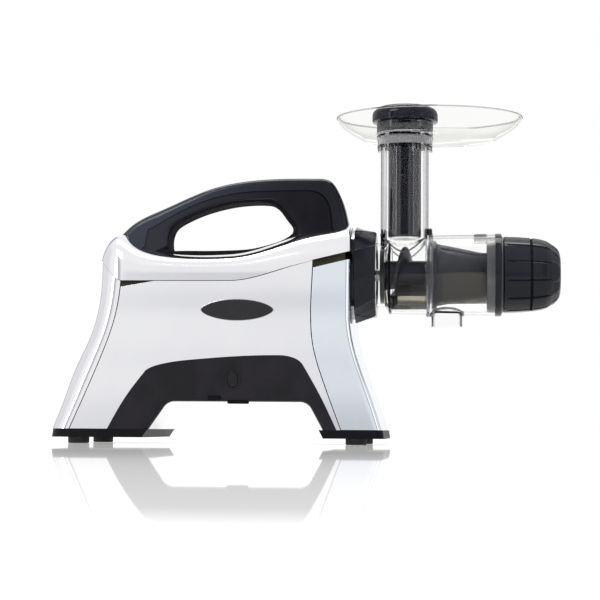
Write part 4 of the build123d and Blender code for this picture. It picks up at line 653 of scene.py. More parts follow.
def ribbed(inner, outer, radius):
    """Closed band between two side-view lines: flat sides at the half width, a small groove
    at the first line's edges and round edges of the given radius, or radii, at the second."""
    reach = outer - inner
    length = np.linalg.norm(reach, axis=1)[:, None]
    unit = (reach / np.maximum(length, 1e-6))[:, None, :]
    radius = np.minimum(np.reshape(radius, (-1, 1)), 0.6 * length)
    turn, ones = quarter(9), np.ones_like(length)
    out = joined(0 * ones, GROOVE * ones, length - radius + radius * np.sin(turn), length * np.ones(3), axis=1)
    width = joined((HANDLE_HALF - GROOVE) * ones, HANDLE_HALF * ones, HANDLE_HALF - radius + radius * np.cos(turn),
                   (HANDLE_HALF - radius) * np.array([0.66, 0.33, 0.0]), axis=1)
    out = joined(out, out[:, -2::-1], axis=1)
    middle = inner[:, None, :] + unit * out[..., None]
    return places(middle[..., 0], joined(-width, width[:, -2::-1], axis=1), middle[..., 1]), False, True


STRAP_OVER = joined(
    bow([(0.812, 178), (0.763, 190.4), (0.641, 205.8), (0.503, 221.2), (0.363, 229), (0.224, 231),
         (0.118, 230.9)], 120, None, (1, 0)),
    bow([(0.118, 230.9), (0.082, 229), (0.055, 220.7), (0.030, 205), (0.014, 186)], 50, (1, 0))[1:])
STRAP_SEAM = joined(
    bow([(0.716, 163), (0.714, 172), (0.704, 186)], 20),
    bow([(0.704, 186), (0.649, 193.5), (0.527, 209), (0.390, 217.7), (0.321, 219), (0.160, 219.4)], 90,
        (0.94, 0.33), (1, 0))[1:],
    bow([(0.160, 219.4), (0.116, 217), (0.092, 211), (0.078, 201), (0.073, 181)], 40, (1, 0), (0, -1))[1:])
STRAP_PAIRS = ((0.812, 178, 0.716, 163), (0.763, 190.4, 0.704, 186), (0.503, 221.2, 0.527, 209),
               (0.224, 231, 0.260, 219.2), (0.118, 230.9, 0.150, 219.3), (0.082, 229, 0.116, 217),
               (0.055, 220.7, 0.090, 210), (0.014, 186, 0.073, 181))
over, under = paired(STRAP_OVER, STRAP_SEAM, STRAP_PAIRS, 180)
strap_gloss = coloured("strap_gloss", (0.005, 0.0055, 0.009), (0.007, 0.008, 0.012), 0.08, 0.16, 40.0, 0.0, 0, 0.2)
# The strap's colour carries a painted sheen, lighter towards the rear.
surface("handle_back", "navy", [ribbed(under, over, STRAP_ROUND)], ["handle_strap"],
        finish=painted_rear_sheen(strap_gloss, (0.036, 0.04, 0.056)))

# -------- handle grip ring
# The black moulding round the hand opening, rounded for the fingers and deepest at its front
# corner. Its lower strip lies on the top shell, and its inside is matte.
GRIP_ROUND, STRIP_ROUND, RING_ROWS = 12.0, 2.0, 220
opening = [(0.635, 172.5), (0.633, 181), (0.619, 188.5), (0.585, 194.5), (0.529, 201), (0.465, 206.2),
           (0.408, 209.2), (0.350, 210.5), (0.305, 210.2), (0.272, 207.5), (0.245, 200.5), (0.222, 192.5),
           (0.209, 187), (0.216, 181.5), (0.248, 176), (0.304, 171.5), (0.350, 169), (0.400, 168),
           (0.527, 167.4), (0.600, 167.4), (0.623, 167.9), (0.632, 169.5)]
# The opening is one smooth closed line: its points are repeated past both ends.
repeated = outline(opening[-4:] + opening + opening[:5])
along = run_length(repeated)
RING_IN = natural(along, repeated, np.linspace(along[4], along[4 + len(opening)], 320))
RING_OUT = joined(STRAP_SEAM, bow(
    [(0.073, 181), (0.113, 179), (0.216, 172), (0.318, 162.5), (0.420, 158), (0.524, 157.8), (0.627, 159),
     (0.696, 161.5), (0.716, 163)], 90)[1:])
RING_PAIRS = ((0.716, 163, 0.635, 172.5), (0.704, 186, 0.622, 187.5), (0.649, 193.5, 0.585, 194.5),
              (0.321, 219, 0.322, 210.4), (0.116, 217, 0.250, 202), (0.073, 181, 0.209, 187),
              (0.216, 172, 0.222, 180), (0.318, 162.5, 0.304, 171.5), (0.524, 157.8, 0.527, 167.4),
              (0.696, 161.5, 0.627, 168.3))
outer, inner = paired(RING_OUT, RING_IN, RING_PAIRS, RING_ROWS, closed=True)
rounding = np.interp(even(RING_ROWS), (0, 0.1, 0.5, 0.57, 0.61, 1),
                     (3, 7, GRIP_ROUND, GRIP_ROUND, STRIP_ROUND, STRIP_ROUND))
matte_black = coloured("matte_black", (0.008, 0.008, 0.01), (0.012, 0.012, 0.014), 0.6, 0.8, 300.0, 0.06, 0, 0.02)
ring_gloss = coloured("ring_gloss", (0.005, 0.005, 0.008), (0.008, 0.008, 0.011), 0.2, 0.3, 50.0, 0.02, 0, 0.1)
# The middle quads of each row face the fingers; they and the lower strip's rows are matte.
inside = np.abs(np.arange(27) - 12.5) < 6.0
lower_strip = np.arange(RING_ROWS - 1)[:, None] > 128
# The ring's gloss carries the same painted sheen, lighter towards the rear.
surface("grip_ring", "black", [ribbed(outer, inner, rounding)], ["handle_surround"],
        finish=[painted_rear_sheen(ring_gloss, (0.03, 0.03, 0.039)), matte_black], paint=inside | lower_strip)

# -------- arch frame
# A satin black moulding that ties the two legs together, with a bright lining under the arch. Its
# faces stand a little outside the plated sides, and it is screwed up into the inner frame.
FRAME_PROUD, ARCH_ROUND, ARCH_ROWS = 0.8, 5.0, 190
BUTTON_X, BUTTON_Z, BUTTON_HOLE = -59.0, 54.0, (6.9, 9.2)


def fillet_line(points, radius, count):
    """Open line through corner points with its inner corners rounded by arcs, resampled evenly."""
    path = [points[:1]]
    for before, corner, after in zip(points[:-2], points[1:-1], points[2:]):
        ways = [(end - corner) / np.linalg.norm(end - corner) for end in (before, after)]
        half = math.acos(float(np.clip(ways[0] @ ways[1], -1, 1))) / 2
        middle = corner + sum(ways) / np.linalg.norm(sum(ways)) * radius / math.sin(half)
        first, last = (corner + way * radius / math.tan(half) - middle for way in ways)
        turn, sweep = even(11)[:, None], math.pi - 2 * half
        path.append(middle + (first * np.sin((1 - turn) * sweep) + last * np.sin(turn * sweep)) / math.sin(sweep))
    path = joined(*path, points[-1:])
    along = run_length(path)
    return sampled(path, along, np.linspace(0, along[-1], count))


BAND = band_edge()
ARCH = fillet_line(outline([(0.661, SHOE_TOP), (0.598, 35.5), (0.136, 35.5), (0.086, SHOE_TOP)]), 11.0, 200)
ARCH_PAIRS = ((0.797, SHOE_TOP, 0.661, SHOE_TOP), (0.700, 52, 0.606, 32), (0.625, 66.5, 0.560, 35.5),
              (0.350, 73.8, 0.350, 35.5), (0.205, 74, 0.180, 35.5), (0.151, 66, 0.128, 31),
              (0.040, SHOE_TOP, 0.086, SHOE_TOP))
upper, lower = paired(BAND, ARCH, ARCH_PAIRS, ARCH_ROWS)
reach = lower - upper
length = np.linalg.norm(reach, axis=1)[:, None]
turn = quarter(6)[1:]
down = joined(even(20) * (length - ARCH_ROUND), length - ARCH_ROUND + ARCH_ROUND * np.sin(turn),
              length * np.ones(9), axis=1)
inset = joined(np.zeros(20), ARCH_ROUND * (1 - np.cos(turn)), np.zeros(9))
place = upper[:, None] + (reach / length)[:, None] * down[..., None]
wide = half_width(place[..., 1]) + FRAME_PROUD - inset
shrink = joined(np.ones(25), np.linspace(0.915, 0.0, 9))
polished = coloured("polished_lining", (0.9, 0.9, 0.91), (0.8, 0.8, 0.81), 0.1, 0.16, 50.0, 0.0, 1.0)
# The middle quads of each row are the lining's.
lining = np.abs(np.arange(66) - 32.5) < 9.0
band = surface("arch_band", "black", [both_halves(places(place[..., 0], -wide * shrink, place[..., 1]))],
               ["arch_frame"], BODY_MIDDLE, 2.5, 0.5, [FINISH["black"], polished],
               paint=np.tile(lining, ARCH_ROWS - 1))
work = bmesh.new()
work.from_mesh(band.data)
bmesh.ops.delete(work, context="FACES", geom=[face for face in work.faces if all(
    point.co.y < 0 and math.hypot((point.co.x * 1000 - BUTTON_X) / BUTTON_HOLE[0],
                                  (point.co.z * 1000 - BUTTON_Z) / BUTTON_HOLE[1]) < 1 for point in face.verts)])
work.to_mesh(band.data)
work.free()


def lofted(loops):
    """Rows of plan loops at their heights."""
    return np.array([places(*loop.T, z) for loop, z in loops])


def block(low, high, edge):
    """Closed box between two corners with all its edges cut: an octagon-section loop by height."""
    (x0, y0, z0), (x1, y1, z1) = low, high
    plan = np.array([(x0 + edge, y0), (x1 - edge, y0), (x1, y0 + edge), (x1, y1 - edge), (x1 - edge, y1),
                     (x0 + edge, y1), (x0, y1 - edge), (x0, y0 + edge)])
    middle = np.array([(x0 + x1) / 2, (y0 + y1) / 2])
    inner = middle + (plan - middle) * (1 - 2 * edge / np.array([x1 - x0, y1 - y0]))
    point = middle + 0 * plan
    loops = ((point, z0), (inner, z0), (plan, z0 + edge), (plan, z1 - edge), (inner, z1), (point, z1))
    return lofted(loops), False, True


# The two small side blocks are painted shade: dark pieces set where the arch's lower edge has a notch. The lower block
# is a flange under the arch.
NOTCH_Y = 70.4
surface("notch_shade_and_flange", "black", [block((-79.7, side * NOTCH_Y - 0.7, 36.6), (-68.7, side * NOTCH_Y + 0.7, 40.6), 0.4)
                                for side, _ in SIDES] + [block((-63.6, -69.0, 33.8), (-45.9, -63.0, 36.4), 0.5)],
        finish=matte_black)

# -------- badge plates
# A bare pointed oval on each side: a dark enamelled face inside a thin bright rim. It is glued
# into the plated cover.
BADGE_X, BADGE_Y, BADGE_Z, BADGE_LONG, BADGE_TALL = -56.2, 67.0, 112.6, 62.6, 19.0


def badge_sheet(side):
    """Oval with drawn-out ends, whose height falls as the 0.62nd power of the circle's square
    term; the steps of the profile are the rim's outer wall, its round top, its inner wall and
    the flat face."""
    x = -np.cos(np.linspace(0, math.pi, 61)) * BADGE_LONG / 2
    z = BADGE_TALL / 2 * np.maximum(1 - (2 * x / BADGE_LONG) ** 2, 0) ** 0.62
    loop = joined(places(x, z), places(x, -z)[-2:0:-1])
    inset = np.array([0.0, 0.0, 0.2, 0.6, 0.8, 0.9, 1.0, 1.0, 1.0, 1.0])[:, None, None]
    scale = np.array([1.0, 1.0, 1.0, 1.0, 1.0, 1.0, 1.0, 0.7, 0.35, 0.0])[:, None, None]
    proud = np.array([-0.6, 0.6, 0.9, 0.9, 0.7, 0.5, 0.5, 0.5, 0.5, 0.5])[:, None]
    flat = loop * scale * (1 - inset * 2 / np.array([BADGE_LONG, BADGE_TALL]))
    return places(BADGE_X + flat[..., 0], side * (BADGE_Y + proud), BADGE_Z + flat[..., 1]), False, True


bright_rim = coloured("badge_rim", (0.75, 0.75, 0.77), (0.68, 0.68, 0.7), 0.12, 0.2, 90.0, 0.0, 1.0)
# Each step of the profile has 120 quads: four steps of rim, then five of face.
rim_then_face = np.repeat([0, 0, 0, 0, 1, 1, 1, 1, 1], 120)
surface("badge_plates", "badge", [badge_sheet(side) for side, _ in SIDES], ["badges"], BODY_MIDDLE,
        finish=[bright_rim, FINISH["badge"]], paint=np.tile(rim_then_face, 2))

# -------- locking lugs
# Bright steel lugs that the collar catches behind when it is turned. They stand on the black
# bayonet ring, which is screwed to the socket.
BAYONET_X, LUG_LOW, LUG_HIGH = 38.4, 33.5, 39.0


def capped(points):
    """Swept section with each end drawn in to the section's middle, its rows closed."""
    ends = points[[0, -1]].mean(1, keepdims=True) * np.ones((1, points.shape[1], 1))
    return joined(ends[:1], points, ends[1:]), False, True


def lug(start, stop):
    """Arc of a flat ring between two angles: the corners of its section run in a closed row."""
    angle = np.radians(np.linspace(start, stop, 12))[:, None]
    return capped(round_axis(BAYONET_X + np.array([0.1, 0.1, 1.2, 1.2]),
                             np.array([LUG_LOW, LUG_HIGH, LUG_HIGH, LUG_LOW]), angle))


CAD["bayonet_ring"].data.materials[0] = FINISH["auger"]
surface("bayonet_lugs", "steel", [lug(*span) for span in ((48, 80), (-80, -48), (100, 132), (-132, -100))])

# -------- lock collar
# The glossy dark ring that locks the drum on: ten twisted facets give the hand its grip. It is
# one moulding, held on by the lugs behind its inner shoulder.
COLLAR_BACK_X, COLLAR_FRONT_X = 39.9, 58.1
COLLAR_FACETS, COLLAR_TWIST, COLLAR_PHASE, BORE_LIMIT, RIDGE = 10, 12.0, -12.0, 36.5, 0.35


def round_steps(count):
    """Even angles over a whole turn."""
    return np.linspace(0, 2 * math.pi, count, endpoint=False)


def turned(profile, count=96, facets=None):
    """Half profile (x, radius) swept round the juicing axis; facets changes each radius by angle."""
    profile, angle = np.asarray(profile, float), round_steps(count)
    radius = profile[:, 1:] * np.ones(count)
    if facets is not None:
        radius = facets(profile[:, :1], radius, angle)
    return round_axis(profile[:, :1], radius, angle)


def collar_facets(x, radius, angle):
    """Radius of a twisted polygon: the circle's, times the cosine of half a facet over that of
    the angle from the facet's middle; its edges are rounded off, and the bore stays round."""
    along = (x - COLLAR_BACK_X) / (COLLAR_FRONT_X - COLLAR_BACK_X)
    step = 2 * math.pi / COLLAR_FACETS
    from_edge = np.abs((angle - np.radians(COLLAR_PHASE + COLLAR_TWIST * along)) % step - step / 2)
    flat = math.cos(step / 2) / np.cos(from_edge)
    ridge = RIDGE * np.clip(1 - (step / 2 - from_edge) / 0.022, 0, 1)
    return np.where(radius > BORE_LIMIT, radius * (0.35 + 0.65 * np.maximum(flat, 0.955)) + ridge - RIDGE, radius)


collar_profile = ([(COLLAR_BACK_X, 34.9), (COLLAR_BACK_X, 38.0), (COLLAR_BACK_X, 42.4), (COLLAR_BACK_X + 0.5, 42.9)]
                  + [(COLLAR_BACK_X + 0.5 + 15.2 * part, 42.9 - 3.9 * part) for part in even(16)[1:]]
                  + [(COLLAR_FRONT_X - 2 + 2 * math.sin(a), 36.8 + 2 * math.cos(a)) for a in quarter(6)]
                  + [(COLLAR_FRONT_X, 33.0), (COLLAR_FRONT_X, 28.4), (46.9, 28.4), (46.9, 34.9)])
surface("locking_collar", "navy", [(turned(collar_profile, 240, collar_facets), True, True)], ["lock_collar"],
        body="collar", crease=9.0)

# -------- auger
# One hard black moulding: a round flange, a tapering core and a single deep flight wound round
# it, hollow-flanked like a screw conveyor's. It turns on the drive shaft.
FLIGHT_PITCH, FLIGHT_PEAK_X, FLIGHT_START_X, FLIGHT_END_X = 30.0, 83.3, 71.4, 139.9
TAPER_X, TAPER_LONG, TIP_RADIUS, TIP_FALL, CORE_RADIUS, CORE_FALL = 110.4, 37.0, 24.4, 7.2, 10.5, 4.5
auger_core = [(61.5, 0.0), (61.5, 5.6), (61.5, 24.6), (62.1, 25.2), (65.3, 25.2), (65.9, 24.6), (66.1, 15.5),
              (67.5, 13.2), (70.0, 12.4), (100.0, 12.4), (129.4, 12.4), (146.4, 7.4), (147.4, 6.6), (148.2, 5.6),
              (148.4, 0.0)]


def flight_sheet():
    """Helix: the section's place along x grows with the angle, one pitch a turn; the flanks
    curve from a wide foot to a thin tip, whose radius falls with the cone and at both ends."""
    along = even(320)[:, None]
    x = FLIGHT_START_X + (FLIGHT_END_X - FLIGHT_START_X) * along
    angle = np.radians(90 - 360 * (x - FLIGHT_PEAK_X) / FLIGHT_PITCH)
    taper = np.clip((x - TAPER_X) / TAPER_LONG, 0, 1)
    foot = CORE_RADIUS - CORE_FALL * taper
    fade = np.clip(along / 0.08, 0, 1) * np.clip((1 - along) / 0.1, 0, 1)
    tip = foot + 1.0 + (TIP_RADIUS - TIP_FALL * taper - foot - 1.0) * np.sqrt(fade)
    up = np.array([0.0, 0.12, 0.28, 0.48, 0.7, 0.88, 0.97, 1.0])
    out = np.array([-5.2, -3.8, -2.9, -2.2, -1.7, -1.4, -1.1, -0.5])
    radius = foot + (tip - foot) * joined(up, up[::-1])
    return capped(places(x + joined(out, -out[::-1]), radius * np.cos(angle), AXIS_Z + radius * np.sin(angle)))


surface("auger_screw", "auger", [(turned(auger_core), False, True), flight_sheet()], ["auger"], body="drive")

# -------- juicing screen
# A smoke-coloured ribbed cone with fine steel perforations behind it, on a ring that centres it
# in the drum. Its nose is plain black.
CONE_X, SCREEN_NOSE_X = 110.4, 148.4


def cone_ribs(x, radius, angle):
    """Shallow panels between twelve lengthwise ribs."""
    rib = np.clip(np.cos(12 * angle) * 3.0 - 1.2, 0, 1)
    inside = np.clip((x - CONE_X - 3) / 1.5, 0, 1) * np.clip((SCREEN_NOSE_X - 3 - x) / 1.5, 0, 1)
    return radius - 0.9 * inside * (1 - rib)


cone_profile = ([(102.4, 28.4), (102.4, 30.0), (103.0, 30.2), (109.4, 30.2), (CONE_X, 29.6), (CONE_X + 0.5, 27.2)]
                + [(x, 27.3 - 7.9 * (x - CONE_X) / 38.0) for x in np.linspace(CONE_X + 2.5, SCREEN_NOSE_X - 2, 24)]
                + [(SCREEN_NOSE_X, 19.4), (153.0, 19.4), (153.4, 19.0), (153.4, 18.0), (SCREEN_NOSE_X, 17.8),
                   (CONE_X, 25.4), (103.0, 28.0)])
nose = np.abs(np.array(cone_profile)[:, 0] - 151.0) < 2.8
surface("screen_cone", "smoke", [(turned(cone_profile, 288, cone_ribs), True, True)], ["screen_frame"],
        finish=[FINISH["smoke"], FINISH["auger"]], paint=np.repeat(nose, 288))

# -------- perforated window
# The steel trough under the feed tube: a thin curved sheet with a field of fine round holes,
# held in a smoke-coloured frame with one slanted end.
TROUGH_START_X, TROUGH_END_X, TROUGH_RADIUS, HOLE_PITCH = 72.6, 102.4, 29.9, 1.7
TROUGH_MIDDLE = (88, 0, AXIS_Z)
FRAME_LOW, WINDOW_LOW, WINDOW_HIGH, FRAME_HIGH = 20.0, 31.5, 50.8, 71.5
BAR_START_X, BAR_SLANT = 70.6, 0.36
perforated, tree, shader = blank("perforated_steel")
cells = add(tree, "TexVoronoi", Vector=spot(tree, "UV"), Scale=1.0, Randomness=0.0).outputs["Distance"]
rubbed = add(tree, "TexNoise", Scale=300.0).outputs["Fac"]
feed(shader, Base_Color=mixed_colour(ramp(cells, 0.26, 0.34), (0.09, 0.08, 0.07, 1), (0.62, 0.57, 0.48, 1)),
     Roughness=ramp(rubbed, 0.3, 0.7, 0.25, 0.4), Metallic=0.7)
sheet_angle = np.radians(np.linspace(-150, -30, 60))
sheet_x = np.linspace(TROUGH_START_X + 2, TROUGH_END_X, 24)[:, None]
window = surface("screen_window", "mesh", [round_axis(sheet_x, TROUGH_RADIUS - 1.0, sheet_angle)],
                 ["trough_mesh", "cone_mesh"], TROUGH_MIDDLE, 0.4, finish=perforated)
corner_points = read(window.data.vertices, "co", 3) * 1000
chosen = corner_points[read(window.data.loops, "vertex_index", 1, np.int32)[:, 0]]
around = np.degrees(np.arctan2(chosen[:, 2] - AXIS_Z, -chosen[:, 1]))
around = np.where(around > 90, around - 360, around)
holes = places(chosen[:, 0] / HOLE_PITCH, around * math.radians(TROUGH_RADIUS) / HOLE_PITCH)
window.data.uv_layers.new(name="holes").data.foreach_set("uv", holes.ravel())


def frame_bar(side, low, high, width=None):
    """Part of the frame between two angles from the bottom: it starts along a slanted line and
    runs to the ring, or for the given width."""
    angle = np.linspace(low, high, 9)[:, None]
    start = np.clip(BAR_START_X + (angle - WINDOW_HIGH) * BAR_SLANT, BAR_START_X, None)
    stop = TROUGH_END_X if width is None else start + width
    return round_axis(start + (stop - start) * even(16), TROUGH_RADIUS + 0.7, np.radians(-90 - side * angle))


bars = [frame_bar(side, *span) for side, _ in SIDES
        for span in ((WINDOW_HIGH, FRAME_HIGH), (WINDOW_LOW, WINDOW_HIGH, 6.5), (FRAME_LOW, WINDOW_LOW))]
deep_smoke = clear_plastic("deep_smoked_moulding", (0.1, 0.1, 0.1), (0.03, 0.03, 0.034), 0.12, 1.15, 0.95)
surface("window_frame", "smoke", bars, (), TROUGH_MIDDLE, 1.4, 0.3, deep_smoke)

# -------- screen trough
# A half-round brownish trough under the cone, which keeps the juice away from the pulp; its
# straight upper edges lie level with the axis.
trough_tint = clear_plastic("brown_smoked_moulding", (0.3, 0.285, 0.26), (0.08, 0.076, 0.07), 0.1, 1.12, 0.84)
trough_x = joined([107.0], np.linspace(109.6, 153.2, 22), [153.4])[:, None]
trough_radius = joined([29.0], np.linspace(25.6, 25.0, 22), [19.6])[:, None]
surface("screen_trough", "smoke", [round_axis(trough_x, trough_radius, np.radians(np.linspace(-181, 1, 64)))], (),
        (130, 0, AXIS_Z), 1.2, 0.3, trough_tint)

# -------- drum fittings
# Clear mouldings on the drum: a raised ring, a bead round the feed tube's foot, an oval rib round
# the spout's root, and a square catch for the screen's tab. Two black gussets stiffen the foot.
FOOT_RADIUS, ROOT_RADIUS, TUBE_X, SPOUT_X = 34.9, 35.6, 82.35, 119.05
ring_profile = [(101.0, 34.6), (101.2, 36.2), (101.8, 36.6), (106.4, 36.6), (107.0, 36.2), (107.2, 34.7)]
surface("drum_step_ring", "clear", [turned(ring_profile, 144)], (), (104, 0, AXIS_Z), 1.4)


def bead(path, radius):
    """Closed round bead along a closed path on the drum: circles across the path's direction."""
    ahead = np.roll(path, -1, 0) - np.roll(path, 1, 0)
    ahead /= np.linalg.norm(ahead, axis=1)[:, None]
    beside = np.cross(ahead, path - places(path[:, 0], 0, AXIS_Z))
    beside /= np.linalg.norm(beside, axis=1)[:, None]
    turn = round_steps(10)[:, None]
    ring = np.cos(turn) * beside[:, None] + np.sin(turn) * np.cross(beside, ahead)[:, None]
    return path[:, None] + radius * ring, True, True


turn = round_steps(120)
foot_y = 30.0 * np.sin(turn)
foot = places(TUBE_X + 21.0 * np.cos(turn), foot_y, AXIS_Z + np.sqrt(FOOT_RADIUS**2 - foot_y**2))
root_depth = 35.3 - 5.6 * np.abs(np.sin(turn))
root = places(SPOUT_X + 14.0 * np.cos(turn), np.sign(np.sin(turn)) * np.sqrt(ROOT_RADIUS**2 - root_depth**2),
              AXIS_Z - root_depth)
# A darker clear for the beads and the catch; its darkness is painted shade, which draws the dark lines of the drum's
# clear joints.
painted_shade_clear = clear_plastic("bead_moulding", (0.3, 0.3, 0.31), (0.02, 0.02, 0.022), 0.03, 1.25)
surface("drum_beads", "clear", [bead(foot, 0.75), bead(root, 0.9)], finish=painted_shade_clear)
surface("drum_catch", "clear", [block((142.4, -8, 175.4), (153.5, 8, 182.6), 0.7)], finish=painted_shade_clear)
surface("tube_gussets", "auger", [block((61.6, -9, 176.0), (65.6, 9, 187.0), 0.8),
                                  block((101.4, -9, 178.5), (106.2, 9, 187.5), 0.8)])

# -------- pulp cap
# The dark screw-on end: twelve flats with narrow grooves between them, a groove round its
# middle, and a shallow window pressed into each flat of the nose.
CAP_X, CAP_LONG, EXIT_RADIUS, CAP_TURN = 167.6, 49.0, 9.8, math.radians(2.0)
CAP_FLATS, CAP_COUNT, GROOVE_HALF = 12, 480, 0.62
FLAT_STEP = 2 * math.pi / CAP_FLATS
cap_outside = np.array([
    (0, 32.6), (0.8, 33.5), (12, 33.1), (22.6, 32.3), (23.2, 31.5), (24.4, 31.5), (25.0, 32.1), (32, 31.0), (37, 29.6),
    (39.5, 28.0), (43.6, 25.2), (46.4, 22.8), (47.9, 20.6), (48.8, 18.0), (CAP_LONG, 15.6), (CAP_LONG, 12.0),
    (CAP_LONG, 10.4), (CAP_LONG - 0.6, EXIT_RADIUS)]) + (CAP_X, 0)
cap_inside = np.array([(46.4, EXIT_RADIUS), (46.2, 14.0), (42, 22.0), (36, 26.6), (24, 29.6), (0, 30.6)]) + (CAP_X, 0)
cap_steps = np.arange(4 * len(cap_outside) - 3) / 4
cap_profile = joined(sampled(cap_outside, np.arange(len(cap_outside)), cap_steps), cap_inside)


def cap_flats(x, radius, angle):
    """Twelve flats: the circle's radius over the cosine of the angle from the flat's middle;
    a narrow groove at each edge, and a shallow window on the nose."""
    outer = (np.arange(len(radius)) < len(cap_steps))[:, None]
    from_middle = np.abs((angle + FLAT_STEP / 2 - CAP_TURN) % FLAT_STEP - FLAT_STEP / 2)
    flat = radius * (1 - 0.45 * (1 - math.cos(FLAT_STEP / 2) / np.cos(from_middle)))
    groove = np.clip(1.5 - (FLAT_STEP / 2 - from_middle) * radius / 0.9, 0, 1)
    barrel = np.clip((x - CAP_X - 2.5) / 1.0, 0, 1) * np.clip((CAP_X + 40.5 - x) / 2.0, 0, 1)
    window = (np.clip((x - CAP_X - 41.0) / 1.0, 0, 1) * np.clip((CAP_X + 47.6 - x) / 1.0, 0, 1)
              * np.clip((0.72 * FLAT_STEP / 2 - from_middle) * 30, 0, 1))
    return np.where(outer, flat - 0.8 * groove * barrel - 0.7 * window, radius)


from_edge = np.abs((round_steps(CAP_COUNT) + math.pi / CAP_COUNT - CAP_TURN) % FLAT_STEP - FLAT_STEP / 2)
cap_x = cap_profile[:, :1]
grooved = ((from_edge * cap_profile[:, 1:] < GROOVE_HALF) & (cap_x > CAP_X + 2.5) & (cap_x < CAP_X + 40)
           | (cap_x > CAP_X + 22.4) & (cap_x < CAP_X + 24.6))
grooved &= (np.arange(len(cap_profile)) < len(cap_steps) - 1)[:, None]
surface("cap_shell", "navy", [(turned(cap_profile, CAP_COUNT, cap_flats), True, True)], ["pulp_cap"],
        finish=[FINISH["navy"], matte_black], body="cap", crease=22.0, paint=grooved)

# -------- feed tray
# A clear oval dish with a beaded rim, moulded in one with the sleeve that slips over the tube.
# The sleeve is frosted grey outside.
TRAY_X, TRAY_FLOOR_Z, RIM_Z, HUB_TOP_Z = 103.55, 267.0, 286.0, 271.0
TRAY_LONG, TRAY_BROAD, TRAY_WALL, LOOP_COUNT = 81.3, 65.0, 2.2, 128


def rounded_loop(width, breadth, corner):
    """Rounded rectangle round the tube's middle: four arcs of equal counts joined by even straights."""
    arcs = [places(TUBE_X + sx * (width / 2 - corner) + corner * np.cos(quarter(17) + k * math.pi / 2),
                   sy * (breadth / 2 - corner) + corner * np.sin(quarter(17) + k * math.pi / 2))
            for k, (sx, sy) in enumerate(((1, 1), (-1, 1), (-1, -1), (1, -1)))]
    return joined(*(part for arc, following in zip(arcs, arcs[1:] + arcs[:1])
                    for part in (arc, arc[-1] + (following[0] - arc[-1]) * even(17)[1:-1, None])))


def oval_loop(inset, size=1.0):
    """Ellipse round the tray's middle, an inset within its outer wall's share of the full size,
    in even steps that start level with a rounded loop's."""
    angle = (np.arange(LOOP_COUNT) + 8) / LOOP_COUNT * 2 * math.pi
    return places(TRAY_X + (TRAY_LONG * size - inset) * np.cos(angle), (TRAY_BROAD * size - inset) * np.sin(angle))


def wall_loops(inset, low, high):
    """Dish wall: the half lengths grow from the floor's to the rim's, fast at first."""
    parts = even(14)
    sizes = 0.735 + 0.265 * natural((0, 0.5, 1), (0, 0.66, 1), parts)
    return [(oval_loop(inset, size), low + (high - low) * part) for size, part in zip(sizes, parts)]


def hub_flare(part):
    """Hub's outline grown by a part of its size."""
    return hub_outer + (hub_outer - (TUBE_X, 0)) * part


hub_outer, hub_bore = rounded_loop(47.7, 58.0, 22.1), rounded_loop(42.5, 52.8, 19.9)
throat = rounded_loop(35.7, 46.0, 16.5)
hub_edge = hub_outer * (0.998, 0.995) + (0.002 * TUBE_X, 0)
rim = [(oval_loop(0.6 - 0.6 * math.cos(a)), RIM_Z - 1.0 + math.sin(a)) for a in quarter(4)]
lip = [(oval_loop(TRAY_WALL + 0.4), RIM_Z), (oval_loop(TRAY_WALL + 0.9), RIM_Z - 1.0)]
tray_loops = ([(hub_bore, 257.6), (hub_edge, 257.0), (hub_outer, 257.8), (hub_outer, 259.8), (hub_outer, 266.4),
               (hub_flare(0.03), TRAY_FLOOR_Z)]
              + wall_loops(0.0, TRAY_FLOOR_Z, RIM_Z - 1.0) + rim + lip
              + wall_loops(TRAY_WALL + 0.9, TRAY_FLOOR_Z + TRAY_WALL, RIM_Z - 2.0)[::-1]
              + [(hub_flare(0.02), TRAY_FLOOR_Z + TRAY_WALL), (hub_outer, 269.8), (hub_edge, HUB_TOP_Z),
                 (throat, HUB_TOP_Z), (throat, 269.2), (hub_bore, 269.0), (hub_bore, 263.0)])
dish_clear = clear_plastic("tray_moulding", (0.962, 0.961, 0.95), (0.62, 0.62, 0.6), 0.01, 1.03)
sleeve_grey, tree, shader = blank("frosted_sleeve")
cloud = add(tree, "TexNoise", Vector=spot(tree), Scale=40.0).outputs["Fac"]
feed(shader, Base_Color=mixed_colour(cloud, (0.45, 0.45, 0.47, 1), (0.58, 0.58, 0.6, 1)),
     Roughness=ramp(cloud, 0.3, 0.7, 0.14, 0.26), Transmission_Weight=0.35, IOR=1.3)
frosted = np.isin(np.arange(len(tray_loops)), (3, 4, len(tray_loops) - 6))
surface("tray_dish", "clear", [(lofted(tray_loops), True, True)], ["feed_tray"], finish=[dish_clear, sleeve_grey],
        body="tray", paint=np.repeat(frosted, LOOP_COUNT))
# The rim bead's darker clear is painted shade: it draws the dark line along the rim.
rim_shade_clear = clear_plastic("rim_moulding", (0.6, 0.6, 0.6), (0.06, 0.06, 0.062), 0.03, 1.1)
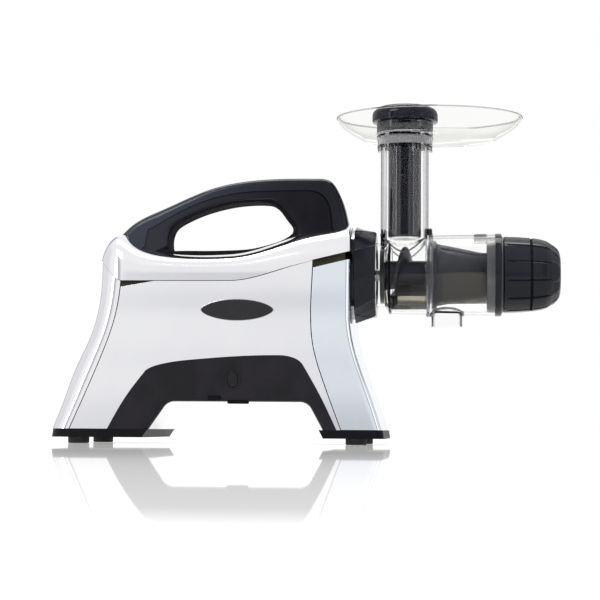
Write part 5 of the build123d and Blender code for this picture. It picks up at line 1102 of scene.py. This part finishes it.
rim_bead = [(oval_loop(0.75 - 0.6 * math.cos(a)), RIM_Z - 0.75 + 0.6 * math.sin(a)) for a in round_steps(8)]
surface("tray_rim", "clear", [(lofted(rim_bead), True, True)], finish=rim_shade_clear, body="tray")

# -------- pusher
# The dark plunger that presses fruit down: a glossy hollow stem, rounded at its foot, with a
# shoulder that rests on the tray's hub.
TIP, STEM, SHOULDER_TOP_Z = (0.02, 0.02, 0.005), (28.6, 38.0, 13.0), 281.0


def plunger(*rows):
    """Closed stack of rounded loops from (width, breadth, corner, height) rows."""
    return lofted([(rounded_loop(*size), z) for *size, z in rows]), False, True


pusher_gloss = coloured("pusher_gloss", (0.009, 0.01, 0.015), (0.012, 0.013, 0.019), 0.04, 0.1, 40.0, 0.0, 0, 0.7)
surface("pusher_stem", "navy", [plunger(
    (*TIP, 180.3), (20.0, 29.0, 9.0, 179.8), (26.6, 36.0, 12.0, 179.5), (28.0, 37.4, 12.7, 179.9),
    (*STEM, 180.9), *((*STEM, z) for z in np.linspace(181, HUB_TOP_Z - 0.4, 12)),
    (48.3, 48.3, 21.7, HUB_TOP_Z), (49.1, 49.1, 22.1, HUB_TOP_Z + 0.6), (49.1, 49.1, 22.1, 280.6),
    (48.0, 48.0, 21.5, SHOULDER_TOP_Z), (*TIP, SHOULDER_TOP_Z))], ["pusher"], finish=pusher_gloss, body="pusher")

# -------- pusher cap
# The mushroom-shaped hand piece: a flat crown with a wide round-over and a small under-lip. It
# is a moulding of its own, snapped onto the stem's shoulder.
CROWN_TOP_Z = 295.0
crown = [(57.4 - 16.8 * (1 - math.cos(a)), 286.6 + 8.4 * math.sin(a)) for a in quarter(12)]
surface("mushroom_cap", "navy", [plunger(
    (*TIP, SHOULDER_TOP_Z), (54.6, 54.6, 26.2, SHOULDER_TOP_Z), (56.8, 56.8, 27.2, 281.4), (57.4, 57.4, 27.5, 282.4),
    *((size, size, size * 0.479, z) for size, z in crown), (20.0, 20.0, 9.5, CROWN_TOP_Z),
    (*TIP, CROWN_TOP_Z))],
        ["pusher_cap"], body="pusher")
